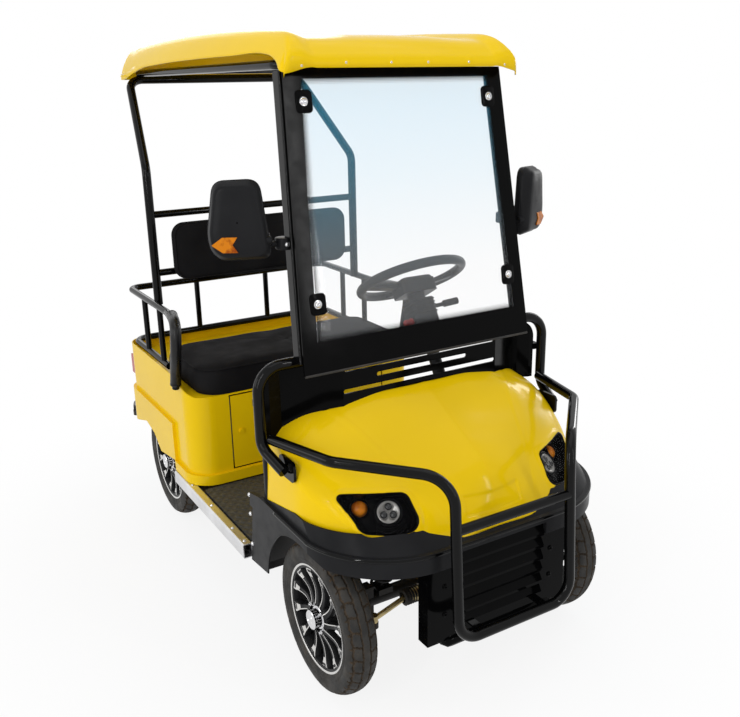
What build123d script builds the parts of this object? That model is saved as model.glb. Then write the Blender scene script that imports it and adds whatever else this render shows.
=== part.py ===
from build123d import *
import os
from math import cos, radians, sin, sqrt, tan

# Small two-seat golf cart. Millimetres. +Z is up, the cart faces -Y, and +X is its left side.
# The origin lies on the ground under the middle of the whole cart.

# ---- overall widths ----
body_half_width = 470
body_wall = 4
tyre_clearance = 18
floor_half_width = body_half_width - 15
fascia_half_width = body_half_width + 2

# ---- running gear ----
wheelbase = 1284
front_axle_y = -712
rear_axle_y = front_axle_y + wheelbase
tyre_radius = 225
tyre_width = 90
wheel_x = body_half_width - body_wall - tyre_clearance - tyre_width / 2
tyre_crown = 50
tyre_belly_radius = 190
bead_radius = 152.5
flange_radius = 160
rim_width = 76
rim_wall = 4
spoke_count = 12
spoke_dish = 6
hub_radius = 46
hub_cap_radius = 27
hub_cap_reach = 55
stub_radius = 14
stub_play = 0.05
seat_play = 0.1
axle_z = tyre_radius
front_beam_radius = 22
kingpin_x = wheel_x - 91
kingpin_radius = 11
kingpin_play = 0.05
knuckle_half_height = 34
steer_arm = 96
steer_eye_drop = 14
steer_lock = 28
rack_z = 262
rack_radius = 15
rack_travel_margin = 12
rear_tube_radius = 24
motor_radius = 72
motor_length = 190
drum_radius = 82
drum_width = 34

# ---- frame and floor ----
frame_x = 165
frame_tube = (36, 50)
frame_high_z = 372
floor_z = 277
floor_sheet = 3
mat_thickness = 6
frame_low_z = floor_z - mat_thickness - floor_sheet - frame_tube[1] / 2
toe_foot_y = -432
toe_head = (-520, 560)
sill_front_y = -312
sill_rear_y = 346
sill_width = 32
sill_height = 50
sill_wall = 3

# ---- rear body and seat ----
body_front_y = 150
body_rear_y = 905
body_top_z = 664
body_front_cut = (178, 292)
body_front_corner = 90
body_rear_corner = 80
deck_z = 618
flare_out = 12
flare_top_z = 472
door_half_width = 325
door_z = (322, 612)
door_gap = 6
door_thickness = 4
battery_size = (520, 180, 270)
cushion_size = (856, 372, 118)
cushion_front_y = 148
cushion_corner = 85
backrest_size = (740, 46, 215)
backrest_z = 975

# ---- tubes, seat rail, roof supports ----
hoop_tube = 16
rail_tube = 13
post_x = 430
post_y = 540
post_foot_z = 884
post_bend_z = 1390
hoop_top = (345, 866, 1700)
hoop_bend = 60
rail_x = 446
rail_rear_y = 868
rail_z = 886
rail_foot_z = 669
armrest_front = (body_half_width + rail_tube + 1, 252, 640)
armrest_corner_y = 190
rail_bar_y = (486, 672)
rail_bar_x = 160
back_rail_z = (1004, 1222)

# ---- windscreen, pillars and roof ----
screen_foot = (front_axle_y + 95, 913)
screen_head = (front_axle_y + 227, 1711)
screen_half_width = (395, 357)
screen_glass = 5
screen_bolt_z = (1101, 1627)
screen_border = (50, 88, 26)
pillar_size = (30, 42)
pillar_gap = 3
roof_half_width = 388
roof_front_y = -545
roof_rear_y = 917
roof_top_z = 1827
roof_edge_z = roof_top_z - 127
roof_field_z = roof_top_z - 16
roof_crown_y = 275
roof_crown_radius = 11500
roof_shoulder = (-390, roof_top_z - 18)
roof_ridge_x = (262, 318, 345)
roof_sheet = 4
roof_tube = 13

# ---- front body ----
cowl_sheet = 4
cowl_low_z = 500
cowl_play = 0.5
fascia_sheet = 4
fascia_lip = 10
arch_radius = 250
fascia_low_z = 442
fascia_shelf_z = 504
fascia_top_z = 548
nose_d = -275
shield_sheet = 5
shield_d = 104
shield_z = (762, 925)
hoop_front_d = 155
hoop_front_x = 508
hoop_front_z = 940
hoop_foot = (486, 62, 668)
hoop_knee_z = 712
hoop_plate = ((30, 120), (640, 700))
grille_half_width = 242
louvre_half_width = 148
louvre_count = 6
grille_z = (215, 486)
guard_tube = 15
guard_d = -349
guard_x = 195
guard_z = (262, 726)
bumper_tube = 15
bumper_y = rear_axle_y + 489
lamp_corners = [
    # along the lamp outwards, up the lamp, corner radius
    (122, 50, 12), (-70, 54, 28), (-114, -50, 34), (45, -66, 40),
]
lamp_centre = (305, -144, 582)
lamp_turn = 29.7
lamp_tilt = 38
lamp_depth = 62

# ---- steering ----
wheel_centre = (230, -200, 1030)
column_tilt = 30
steer_ring = 178
steer_grip = 13
steer_hub = (132, 92, 44)
spoke_width = 34
spoke_rise = 9
column_radius = 21
column_length = 640
pinion_rise = 96
mirror_size = (146, 50, 212)
mirror_turn = 30
mirror_left = (497, front_axle_y + 222, 1304)
mirror_right = (512, front_axle_y + 222, 1331)
mirror_arm_z = 1262
mirror_arm_radius = 8
mirror_clamp = (50, 44, 32)


def span(x, y, z):
    """Box between pairs of limits."""
    size = (x[1] - x[0], y[1] - y[0], z[1] - z[0])
    middle = ((x[0] + x[1]) / 2, (y[0] + y[1]) / 2, (z[0] + z[1]) / 2)
    return Pos(*middle) * Box(*size)


def mirrored(shape):
    """The same shape on the cart's other side."""
    return mirror(shape, about=Plane.YZ)


def bent_path(points, bends):
    """Straight runs through the points, with an arc of the given radius at each inner one."""
    edges = []
    start = Vector(*points[0])
    for before, corner, after, bend in zip(points, points[1:], points[2:], bends):
        corner = Vector(*corner)
        arm_in = (Vector(*before) - corner).normalized()
        arm_out = (Vector(*after) - corner).normalized()
        half_angle = radians(arm_in.get_angle(arm_out)) / 2
        reach = bend / tan(half_angle)
        inward = (arm_in + arm_out).normalized()
        middle = corner + inward * (bend / sin(half_angle) - bend)
        edges.append(Line(start, corner + arm_in * reach))
        edges.append(ThreePointArc(corner + arm_in * reach, middle, corner + arm_out * reach))
        start = corner + arm_out * reach
    edges.append(Line(start, Vector(*points[-1])))
    return Wire(edges)


def pipe(points, radius, *bends):
    """Round bar bent along the points, with one bend radius for all or one for each corner."""
    corners = len(points) - 2
    path = bent_path(points, bends if len(bends) > 1 else bends * corners)
    return sweep(Plane(origin=path @ 0, z_dir=path % 0) * Circle(radius), path=path)


def bar(start, end, radius):
    """Straight round bar between two points."""
    line = Vector(*end) - Vector(*start)
    plane = Plane(origin=start, z_dir=line)
    return extrude(plane * Circle(radius), amount=line.length)


def side_profile(points, x):
    """Outline in the Y-Z plane, given as (y, z), extruded between two X limits."""
    face = make_face(Polyline(*[(x[0], y, z) for y, z in points], close=True))
    return extrude(face, amount=x[1] - x[0], dir=(1, 0, 0))


def save(name, *shapes):
    """One node: every solid of the shapes, in one file."""
    solids = [solid for shape in shapes for solid in shape.solids()]
    export_step(Compound(solids), f"parts/{name}.step")


# ---------------------------------------------------------------- wheels
def tyre_solid():
    """Tyre about the X axis, centred on X = 0."""
    half = tyre_width / 2
    bead_x = rim_width / 2 - rim_wall - seat_play
    half_section = [
        (bead_x, bead_radius + seat_play),
        (bead_x, flange_radius),
        (half, tyre_belly_radius),
        (tyre_crown / 2, tyre_radius),
    ]
    section = half_section + [(-x, r) for x, r in reversed(half_section)]
    face = make_face(Polyline(*section, close=True))
    return revolve(face, Axis.X)


def spoke_window(outer_x):
    """One curved opening between two spokes, cut along X."""
    inner, outer = hub_radius + 6, bead_radius - 15
    step = 360 / spoke_count
    width_in, width_out, lean = 0.36 * step, 0.62 * step, 0.55 * step

    def at(radius, angle):
        return (outer_x, radius * sin(radians(angle)), radius * cos(radians(angle)))

    middle = (inner + outer) / 2
    width_mid = (width_in + width_out) / 2
    edges = [
        ThreePointArc(at(inner, 0), at(middle, lean * 0.75), at(outer, lean)),
        ThreePointArc(at(outer, lean), at(outer, lean + width_out / 2), at(outer, lean + width_out)),
        ThreePointArc(at(outer, lean + width_out), at(middle, lean * 0.75 + width_mid), at(inner, width_in)),
        Line(at(inner, width_in), at(inner, 0)),
    ]
    return extrude(make_face(edges), amount=-rim_width, dir=(1, 0, 0))


def rim_solid():
    """Alloy rim about the X axis with its outer face towards +X."""
    half = rim_width / 2
    bore = bead_radius - rim_wall
    barrel = [
        (-half, bore + 2), (-half, flange_radius), (-half + rim_wall, flange_radius),
        (-half + rim_wall, bead_radius), (half - rim_wall, bead_radius), (half - rim_wall, flange_radius),
        (half, flange_radius), (half, bore + 2), (half - 6, bore), (-half + 6, bore),
    ]
    face_x = half - spoke_dish
    disc = [
        (face_x - 9, 0), (face_x - 9, bore + 1), (face_x, bore + 1), (face_x - 6, hub_radius + 4),
        (face_x, hub_radius - 4), (face_x, hub_cap_radius), (hub_cap_reach, hub_cap_radius - 4),
        (hub_cap_reach, 0),
    ]
    hub = [
        (face_x - 8, 0), (face_x - 8, hub_radius), (-half + 22, hub_radius - 6), (-half + 22, 0),
    ]
    window = spoke_window(half + 1)
    windows = [Rot(X=360 / spoke_count * turn) * window for turn in range(spoke_count)]
    disc_solid = revolve(make_face(Polyline(*disc, close=True)), Axis.X) - windows
    rim = revolve(make_face(Polyline(*barrel, close=True)), Axis.X) + disc_solid
    rim += revolve(make_face(Polyline(*hub, close=True)), Axis.X)
    stub_bore = Plane.YZ.offset(-half) * Circle(stub_radius + stub_play)
    return rim - extrude(stub_bore, amount=rim_width - 16)


def make_wheels():
    corners = [
        # name, side, axle
        ("front_left", 1, front_axle_y),
        ("front_right", -1, front_axle_y),
        ("rear_left", 1, rear_axle_y),
        ("rear_right", -1, rear_axle_y),
    ]
    tyre = tyre_solid()
    rim = rim_solid()
    for name, side, axle in corners:
        place = Pos(side * wheel_x, axle, axle_z)
        handed_rim = rim if side > 0 else mirrored(rim)
        save(f"tyre_{name}", place * tyre)
        save(f"rim_{name}", place * handed_rim)


# ---------------------------------------------------------------- front axle and steering
def along_y(d):
    """Y of a place given as a distance behind the front axle."""
    return front_axle_y + d


grille_front = along_y(nose_d + fascia_sheet + 0.3)
eye_x = kingpin_x - 6
eye_y = along_y(-steer_arm)
eye_z = axle_z - steer_eye_drop
tie_rod_gap = 1.0
pinion_foot = (70, along_y(-steer_arm), rack_z - 8)
pinion_head = (70, along_y(-steer_arm) + 34, rack_z + pinion_rise)
stub_tip_x = wheel_x + rim_width / 2 - 18


def make_front_axle():
    """Beam with a yoke and a kingpin at each end, and two coil-spring struts."""
    beam_end = kingpin_x - 40
    beam = bar((-beam_end, front_axle_y, axle_z), (beam_end, front_axle_y, axle_z), front_beam_radius)
    yoke_half = knuckle_half_height + 14
    yoke_z = (axle_z - yoke_half, axle_z + yoke_half)
    yoke = span((beam_end - 14, kingpin_x + 18), (along_y(-18), along_y(18)), yoke_z)
    yoke -= span((beam_end + 6, kingpin_x + 40), (along_y(-40), along_y(40)),
                 (axle_z - knuckle_half_height - 2, axle_z + knuckle_half_height + 2))
    kingpin = bar((kingpin_x, front_axle_y, axle_z - yoke_half - 8),
                  (kingpin_x, front_axle_y, axle_z + yoke_half + 8), kingpin_radius)
    seat = span((196, 244), (along_y(-26), along_y(26)), (axle_z + front_beam_radius - 6, axle_z + 34))
    half = yoke + kingpin + seat
    save("front_axle", beam + half + mirrored(half))


def make_knuckles():
    """Steering knuckle: barrel on the kingpin, stub axle outboard, arm forward to the tie rod."""
    barrel = bar((kingpin_x, front_axle_y, axle_z - knuckle_half_height),
                 (kingpin_x, front_axle_y, axle_z + knuckle_half_height), kingpin_radius + 9)
    stub = bar((kingpin_x, front_axle_y, axle_z), (stub_tip_x, front_axle_y, axle_z), stub_radius)
    plate_x = wheel_x - rim_width / 2
    plate = bar((plate_x - 14, front_axle_y, axle_z), (plate_x - 4, front_axle_y, axle_z), drum_radius)
    arm = span((eye_x - 9, eye_x + 9), (eye_y, front_axle_y), (eye_z - 6, eye_z + 6))
    eye = bar((eye_x, eye_y, eye_z - 9), (eye_x, eye_y, eye_z + 9), 14)
    knuckle = barrel + stub + plate + arm + eye
    knuckle -= bar((kingpin_x, front_axle_y, axle_z - 60), (kingpin_x, front_axle_y, axle_z + 60),
                   kingpin_radius + kingpin_play)
    save("knuckle_left", knuckle)
    save("knuckle_right", mirrored(knuckle))


def pinion_boss(grow):
    """Housing of the pinion above the rack, grown by a clearance."""
    return bar(pinion_foot, pinion_head, 17 + grow)


def make_rack():
    """Rack housing on the frame, and the moving bar whose rod ends run over the arms' eyes."""
    rack_y = along_y(-steer_arm)
    housing = bar((-86, rack_y, rack_z), (86, rack_y, rack_z), rack_radius + 9)
    housing += pinion_boss(0)
    housing += span((-60, -30), (rack_y, rack_y + 40), (rack_z - 12, frame_high_z - frame_tube[1] / 2))
    housing += span((30, 60), (rack_y, rack_y + 40), (rack_z - 12, frame_high_z - frame_tube[1] / 2))
    housing -= bar((-200, rack_y, rack_z), (200, rack_y, rack_z), rack_radius - 5 + 0.1)
    save("steering_rack", housing)
    ribs = 6
    rod_top = eye_z + 9 + tie_rod_gap
    moving = bar((-150, rack_y, rack_z), (150, rack_y, rack_z), rack_radius - 5)
    inner_end = 86 + rack_travel_margin + steer_arm * sin(radians(steer_lock)) + 4
    for rib in range(ribs):
        rib_x = inner_end + rib * 9
        ring = bar((rib_x, rack_y, rack_z), (rib_x + 6, rack_y, rack_z), rack_radius + 8 - rib)
        moving += ring
        moving += mirrored(ring)
    core_end = inner_end + ribs * 9
    core = bar((inner_end, rack_y, rack_z), (core_end, rack_y, rack_z), rack_radius)
    rod = bar((core_end - 4, rack_y, rack_z), (eye_x - 8, rack_y, rod_top + 9), 8)
    end = bar((eye_x, rack_y, rod_top), (eye_x, rack_y, rod_top + 20), 13)
    half = core + rod + end
    save("tie_rods", moving + half + mirrored(half))


def column_point(distance):
    """Point on the steering axis, measured down from the wheel's centre."""
    x, y, z = wheel_centre
    tilt = radians(column_tilt)
    return (x, y - distance * sin(tilt), z - distance * cos(tilt))


def make_steering():
    """Fixed column with its shroud and stalk, and the steering wheel on its axis."""
    tilt = radians(column_tilt)
    plane = Plane(origin=wheel_centre, x_dir=(1, 0, 0), z_dir=(0, sin(tilt), cos(tilt)))
    ring = plane * Torus(steer_ring, steer_grip)
    wide, deep, tall = steer_hub
    boss = extrude(plane.offset(-14 - tall) * RectangleRounded(wide, deep, 14), amount=tall)
    collar = plane * Pos(Z=-20 - tall) * Cylinder(30, 24)
    spoke_length = steer_ring - 12
    spokes = [
        plane * Pos(side * steer_ring / 2, 5, -18) * Rot(Y=-side * spoke_rise)
        * Box(spoke_length, spoke_width, 14)
        for side in (-1, 1)
    ]
    lower = plane * Pos(0, steer_ring / 2, -18) * Rot(X=spoke_rise) * Box(spoke_width, spoke_length, 14)
    save("steering_wheel", Part() + [ring, boss, collar, lower, *spokes])

    shroud_top, shroud_foot = 80, 190
    tube = bar(column_point(shroud_foot - 10), column_point(column_length), column_radius)
    shroud_plane = Plane(origin=column_point(shroud_foot), x_dir=(1, 0, 0), z_dir=plane.z_dir)
    shroud = extrude(shroud_plane * RectangleRounded(92, 78, 18), amount=shroud_foot - shroud_top)
    lower_shaft = bar(column_point(column_length), pinion_head, 10) - pinion_boss(0.3)
    save("steering_column", tube + shroud + lower_shaft)
    stalk_root = column_point(112)
    stalk_tip = (stalk_root[0] + 150, stalk_root[1] - 6, stalk_root[2] + 12)
    stalk = bar((stalk_root[0] + 47.5, stalk_root[1] - 2, stalk_root[2] + 4), stalk_tip, 7)
    stalk += bar((stalk_root[0] + 96, stalk_root[1] - 4, stalk_root[2] + 8), stalk_tip, 12)
    save("control_stalk", stalk)


def make_struts():
    """Coil springs over dampers between each axle and the frame."""
    front_foot, front_head = axle_z + 34, frame_high_z + 150
    rear_foot, rear_head = axle_z + rear_tube_radius + 12, frame_high_z + 120
    struts = []
    places = ((front_foot, front_head, 220, front_axle_y), (rear_foot, rear_head, 236, rear_axle_y))
    for foot, head, x, y in places:
        strut = bar((x, y, foot), (x, y, head), 11)
        turns = 7
        for turn in range(turns):
            coil_z = foot + 26 + (head - foot - 60) * turn / (turns - 1)
            strut += Pos(x, y, coil_z) * Cylinder(24, 11)
        struts += [strut, mirrored(strut)]
    save("suspension_struts", *struts)


# ---------------------------------------------------------------- rear axle
def make_rear_axle():
    """Axle tube, differential, motor on its end, brake drums and stub ends for the wheels."""
    tube_end = wheel_x - rim_width / 2 - 2
    tube = bar((-tube_end, rear_axle_y, axle_z), (tube_end, rear_axle_y, axle_z), rear_tube_radius)
    differential = Pos(-70, rear_axle_y, axle_z) * Rot(Y=90) * Cylinder(66, 110)
    differential += Pos(-70, rear_axle_y - 30, axle_z) * Rot(X=90) * Cylinder(40, 120)
    motor_y, motor_z = rear_axle_y - 10, axle_z + 8
    motor = bar((-15, motor_y, motor_z), (-15 + motor_length, motor_y, motor_z), motor_radius)
    drum_x = wheel_x - rim_width / 2 - drum_width + 8
    drum = bar((drum_x, rear_axle_y, axle_z), (drum_x + drum_width, rear_axle_y, axle_z), drum_radius)
    stub = bar((drum_x, rear_axle_y, axle_z), (stub_tip_x, rear_axle_y, axle_z), stub_radius)
    seat = span((212, 260), (rear_axle_y - 26, rear_axle_y + 26),
                (axle_z + rear_tube_radius - 8, axle_z + rear_tube_radius + 12))
    half = drum + stub + seat
    save("rear_axle", tube + differential + motor + half + mirrored(half))


# ---------------------------------------------------------------- frame and floor
def make_frame():
    """Two box rails that rise over both axles, with cross tubes under the floor."""
    wide, tall = frame_tube
    front_end, rear_end = along_y(-255), body_rear_y - 30
    rise = frame_high_z - frame_low_z
    centre_line = [
        (front_end, frame_high_z), (toe_foot_y - 60 - 130, frame_high_z), (toe_foot_y - 60, frame_low_z),
        (rear_axle_y - 195, frame_low_z), (rear_axle_y - 195 + rise, frame_high_z), (rear_end, frame_high_z),
    ]
    lower = [(y, z - tall / 2) for y, z in centre_line]
    upper = [(y, z + tall / 2) for y, z in reversed(centre_line)]
    rail = side_profile(lower + upper, (frame_x - wide / 2, frame_x + wide / 2))
    frame = rail + mirrored(rail)
    cross_top = frame_low_z + tall / 2
    for y in (toe_foot_y + 40, -120, body_front_y - 20, body_front_y + 150):
        cross_x = floor_half_width - 8
        frame += span((-cross_x, cross_x), (y - 18, y + 18), (cross_top - 40, cross_top))
    for y in (front_end + 18, along_y(150), rear_axle_y + 160, rear_end - 18):
        beam_z = (frame_high_z - tall / 2, frame_high_z + tall / 2)
        frame += span((-frame_x, frame_x), (y - 18, y + 18), beam_z)
    for x, y, head in ((220, front_axle_y, frame_high_z + 150), (236, rear_axle_y, frame_high_z + 120)):
        tower = span((frame_x, x + 26), (y - 20, y + 20), (head, head + 8))
        tower += span((frame_x, frame_x + 12), (y - 20, y + 20), (frame_high_z, head + 8))
        frame += tower + mirrored(tower)
    save("chassis_frame", frame)


def make_floor():
    """Floor sheet that turns up into the toe board, the mat on it and the two sill profiles."""
    under = floor_z - mat_thickness - floor_sheet
    top = floor_z - mat_thickness
    rear = body_front_y + 190
    sheet_line = [(rear, under), (toe_foot_y, under), toe_head, (toe_head[0] + floor_sheet, toe_head[1]),
                  (toe_foot_y + floor_sheet, top), (rear, top)]
    pan = side_profile(sheet_line, (-floor_half_width, floor_half_width))
    save("floor_pan", pan - bar(column_point(400), column_point(column_length + 40), column_radius + 6))
    mat_x = floor_half_width - 6
    mat = span((-mat_x, mat_x), (toe_foot_y + 24, body_front_y - 14), (top, floor_z))
    save("floor_mat", fillet(mat.edges().filter_by(Axis.Z), 14))
    outer = floor_half_width + 2 + sill_width
    sill_top = floor_z + 3
    sill = span((floor_half_width + 2, outer), (sill_front_y, sill_rear_y), (sill_top - sill_height, sill_top))
    sill = fillet(sill.edges().filter_by(Axis.Y), 6)
    sill -= span((floor_half_width + 2 + sill_wall, outer - sill_wall), (sill_front_y - 1, sill_rear_y + 1),
                 (floor_z + 3 - sill_height + sill_wall, floor_z + 3 - sill_wall))
    save("sills", sill, mirrored(sill))


def make_pedals():
    """Two pedals on arms from the toe board."""
    pedals = []
    for x in (185, 285):
        arm = bar((x, toe_foot_y - 8, 352), (x, toe_foot_y + 62, 392), 7)
        pad = Pos(x, toe_foot_y + 66, 394) * Rot(X=-52) * Box(58, 70, 9)
        pedals.append(arm + pad)
    save("pedals", *pedals)


# ---------------------------------------------------------------- rear body
def rounded_plan(half_width, front, rear, front_corner, rear_corner):
    """Closed plan outline with its own radius at the front and at the rear corners."""
    x = half_width
    a, b = front_corner, rear_corner
    s = 1 - sqrt(0.5)
    edges = [
        Line((-x + a, front), (x - a, front)),
        ThreePointArc((x - a, front), (x - a * s, front + a * s), (x, front + a)),
        Line((x, front + a), (x, rear - b)),
        ThreePointArc((x, rear - b), (x - b * s, rear - b * s), (x - b, rear)),
        Line((x - b, rear), (-x + b, rear)),
        ThreePointArc((-x + b, rear), (-x + b * s, rear - b * s), (-x, rear - b)),
        Line((-x, rear - b), (-x, front + a)),
        ThreePointArc((-x, front + a), (-x + a * s, front + a * s), (-x + a, front)),
    ]
    return make_face(edges)


def body_block(inset, z):
    """The rear body's outline, drawn in by an inset, between two heights."""
    plan = rounded_plan(body_half_width - inset, body_front_y + inset, body_rear_y - inset,
                        body_front_corner - inset, body_rear_corner - inset)
    return Pos(Z=z[0]) * extrude(plan, amount=z[1] - z[0])


def tail_lamp(grow):
    """Upright lamp let into the left rear corner, grown by a clearance."""
    form = span((body_half_width - 58 - grow, body_half_width - 8 + grow),
                (body_rear_y - 60 - grow, body_rear_y - 6 + grow), (520 - grow, 600 + grow))
    return form - body_block(body_wall + 8 - grow, (400, 700)) if grow == 0 else form


body_lip = [
    # y, z of the skirt's lower edge, from the floor back to the rear corner
    (sill_rear_y, 281), (sill_rear_y + 6, 322), (rear_axle_y - 52, 296), (rear_axle_y + 20, 348),
    (rear_axle_y + 118, 368), (rear_axle_y + 250, 330), (body_rear_y + 60, 322),
]


def make_rear_body():
    """Moulded tub: walls, deck under the cushion, wheel flares, base flange and battery doorway."""
    base_z = floor_z + 4
    inner_top = body_top_z + 1
    tub = body_block(0, (base_z, body_top_z)) - body_block(body_wall, (base_z - 1, inner_top))
    flange = body_block(-flare_out, (base_z, base_z + 38)) - body_block(body_wall, (base_z - 1, base_z + 39))
    flange -= span((-600, 600), (sill_rear_y, body_rear_y + 100), (0, body_top_z))
    flare = body_block(-flare_out, (base_z, flare_top_z))
    flare -= body_block(body_wall, (base_z - 1, flare_top_z + 1))
    flare -= span((-600, 600), (0, sill_rear_y), (0, body_top_z))
    flare -= span((-body_half_width + 30, body_half_width - 30), (0, body_rear_y + 100), (0, body_top_z))
    deck = body_block(body_wall / 2, (deck_z - body_wall, deck_z))
    tub = tub + flange + flare + deck
    skirt_cut = body_lip + [(body_rear_y + 60, 0), (sill_rear_y, 0)]
    tub -= side_profile(skirt_cut, (-600, 600))
    cut_start, cut_end = body_front_cut
    cut_front = body_front_y - 40
    front_cut = [(cut_front, deck_z), (cut_start, deck_z), (cut_end, inner_top), (cut_front, inner_top)]
    tub -= side_profile(front_cut, (-600, 600))
    tub -= span((-door_half_width, door_half_width), (body_front_y - 40, body_front_y + 30), door_z)
    tub -= span((-frame_x - 40, frame_x + 40), (body_rear_y - 40, body_rear_y + 40), (0, frame_high_z - 12))
    lamp = tail_lamp(0.3)
    tub -= lamp
    tub -= mirrored(lamp)
    save("rear_body", tub)


def make_battery():
    """Hinged door in the front of the seat box, and the battery block behind it."""
    low, high = door_z
    gap = door_gap
    door = span((-door_half_width + gap, door_half_width - gap), (body_front_y, body_front_y + door_thickness),
                (low + gap, high - gap))
    hinge_x = door_half_width - gap - 8
    for z in (low + 60, high - 60):
        door += bar((hinge_x, body_front_y + 2, z - 18), (hinge_x, body_front_y + 2, z + 18), 5)
    lock_x = -door_half_width + 40
    lock_z = (low + high) / 2
    door += bar((lock_x, body_front_y - 7, lock_z), (lock_x, body_front_y + 20, lock_z), 9)
    save("battery_door", door)
    wide, deep, tall = battery_size
    front = body_front_y + 34
    low_z = floor_z - mat_thickness
    save("battery_pack", span((-wide / 2, wide / 2), (front, front + deep), (low_z, low_z + tall)))


def make_seat():
    """Bench cushion on the deck and the backrest pad between the posts."""
    wide, deep, tall = cushion_size
    plan = rounded_plan(wide / 2, cushion_front_y, cushion_front_y + deep, cushion_corner, cushion_corner / 2)
    cushion = Pos(Z=deck_z + 0.5) * extrude(plan, amount=tall)
    top_edges = cushion.faces().sort_by(Axis.Z)[-1].edges()
    save("seat_cushion", fillet(top_edges, 24))
    wide, deep, tall = backrest_size
    pad_rear = post_y - rail_tube - 0.5
    pad = span((-wide / 2, wide / 2), (pad_rear - deep, pad_rear), (backrest_z, backrest_z + tall))
    pad = fillet(pad.edges().filter_by(Axis.Y), 42)
    save("backrest_pad", fillet(pad.faces().sort_by(Axis.Y)[0].edges(), 14))


# ---------------------------------------------------------------- tube work
def seat_top_rail(grow):
    """Upper rail with armrests that curve down outside the body, grown by a clearance."""
    front_x, front_y, front_z = armrest_front
    top = [
        (front_x, front_y, front_z), (front_x - 2, armrest_corner_y, rail_z), (rail_x, front_y + 140, rail_z),
        (rail_x, rail_rear_y, rail_z), (-rail_x, rail_rear_y, rail_z), (-rail_x, front_y + 140, rail_z),
        (-front_x + 2, armrest_corner_y, rail_z), (-front_x, front_y, front_z),
    ]
    return pipe(top, rail_tube + grow, 70, 60, 42, 42, 60, 70)


def make_seat_rail():
    """Rail round the seat, with uprights and a lower rail."""
    rail = seat_top_rail(0)
    foot = [
        (rail_x, rail_bar_y[0] - 60, rail_foot_z), (rail_x, rail_rear_y, rail_foot_z),
        (-rail_x, rail_rear_y, rail_foot_z), (-rail_x, rail_bar_y[0] - 60, rail_foot_z),
    ]
    rail += pipe(foot, rail_tube, 60)
    spots = [(side * rail_x, y) for side in (-1, 1) for y in rail_bar_y]
    spots += [(side * rail_bar_x, rail_rear_y) for side in (-1, 1)]
    for x, y in spots:
        rail += bar((x, y, rail_foot_z), (x, y, rail_z), rail_tube - 2)
    save("seat_rail", rail)


def make_roof_hoop():
    """Rear roof support: two posts, bent in and back to a top tube, with two back rails."""
    top_x, top_y, top_z = hoop_top
    hoop = pipe([
        (post_x, post_y, post_foot_z), (post_x, post_y, post_bend_z), (top_x + 20, top_y, top_z),
        (-top_x - 20, top_y, top_z), (-post_x, post_y, post_bend_z), (-post_x, post_y, post_foot_z),
    ], hoop_tube, hoop_bend)
    for z in back_rail_z:
        hoop += bar((-post_x, post_y, z), (post_x, post_y, z), rail_tube)
    save("roof_hoop", hoop - seat_top_rail(0.3))


def hoop_bar(grow):
    """Bent tube of the front hoop, grown by a clearance."""
    x, y = hoop_front_x, along_y(hoop_front_d)
    foot_x, foot_d, foot_z = hoop_foot
    left = [(foot_x, along_y(foot_d), foot_z), (x, y, hoop_knee_z), (x, y, hoop_front_z)]
    right = [(-px, py, pz) for px, py, pz in reversed(left)]
    return pipe(left + right, hoop_tube + grow, 45, 70, 70, 45)


def make_front_hoop():
    """Hoop round the dash shield, with a mounting plate on each cowl side."""
    plate_d, plate_z = hoop_plate
    plate = span((cowl_side_x + 3, cowl_side_x + 11), (along_y(plate_d[0]), along_y(plate_d[1])), plate_z)
    plate = fillet(plate.edges().filter_by(Axis.X), 14)
    save("front_hoop", hoop_bar(0) + plate + mirrored(plate))


def make_nudge_bar():
    """Front guard: bars from the hoop along the cowl, upright loop and a cross tube."""
    side_z, cross_z = 737, 580
    side_start = (hoop_front_x - 21, along_y(hoop_front_d - 17), side_z)
    side_bend = (425, along_y(-92), side_z + 5)
    low, high = guard_z
    y = along_y(guard_d)
    half_loop = [side_start, side_bend, (guard_x, y + 30, high), (guard_x, y, low), (-guard_x, y, low),
                 (-guard_x, y + 30, high), (-side_bend[0], side_bend[1], side_bend[2]),
                 (-side_start[0], side_start[1], side_start[2])]
    guard = pipe(half_loop, guard_tube, 60, 90, 65, 65, 90, 60) - hoop_bar(0.3)
    cross_y = y + 30 * (cross_z - low) / (high - low)
    guard += bar((-guard_x, cross_y, cross_z), (guard_x, cross_y, cross_z), guard_tube - 1)
    for x in (-110, 110):
        guard += span((x - 12, x + 12), (y - 2, grille_front - 13), (low - 3, low + 3))
    save("nudge_bar", guard)


def make_rear_bumper():
    """Rear bumper tube on two arms from the frame."""
    y = bumper_y
    arm_x = 420
    cross_y = body_rear_y + flare_out + bumper_tube + 6
    loop = [
        (arm_x, y, 262), (arm_x, y, 322), (arm_x, cross_y, 334), (-arm_x, cross_y, 334),
        (-arm_x, y, 322), (-arm_x, y, 262),
    ]
    bumper = pipe(loop, bumper_tube, 30)
    under_frame = frame_high_z - frame_tube[1] / 2
    for x in (-frame_x, frame_x):
        bumper += span((x - 14, x + 14), (body_rear_y - 70, cross_y), (under_frame - 6, under_frame))
    save("rear_bumper", bumper)


# ---------------------------------------------------------------- windscreen and roof
screen_rise = screen_head[1] - screen_foot[1]
screen_run = screen_head[0] - screen_foot[0]
screen_length = sqrt(screen_rise ** 2 + screen_run ** 2)
screen_plane = Plane(origin=(0, screen_foot[0], screen_foot[1]), x_dir=(1, 0, 0),
                     z_dir=(0, -screen_rise, screen_run))


def screen_y(z, behind=0):
    """Y of the windscreen's front face at a height, moved back by a distance."""
    return screen_foot[0] + (z - screen_foot[1]) * screen_run / screen_rise + behind


def screen_face(border):
    """Tapered outline of the windscreen, drawn in by a border at the sides, foot and head."""
    side, foot, head = border
    low_x, high_x = screen_half_width
    return make_face(Polyline(
        (-low_x + side, foot), (low_x - side, foot), (high_x - side, screen_length - head),
        (-high_x + side, screen_length - head), close=True))


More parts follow.
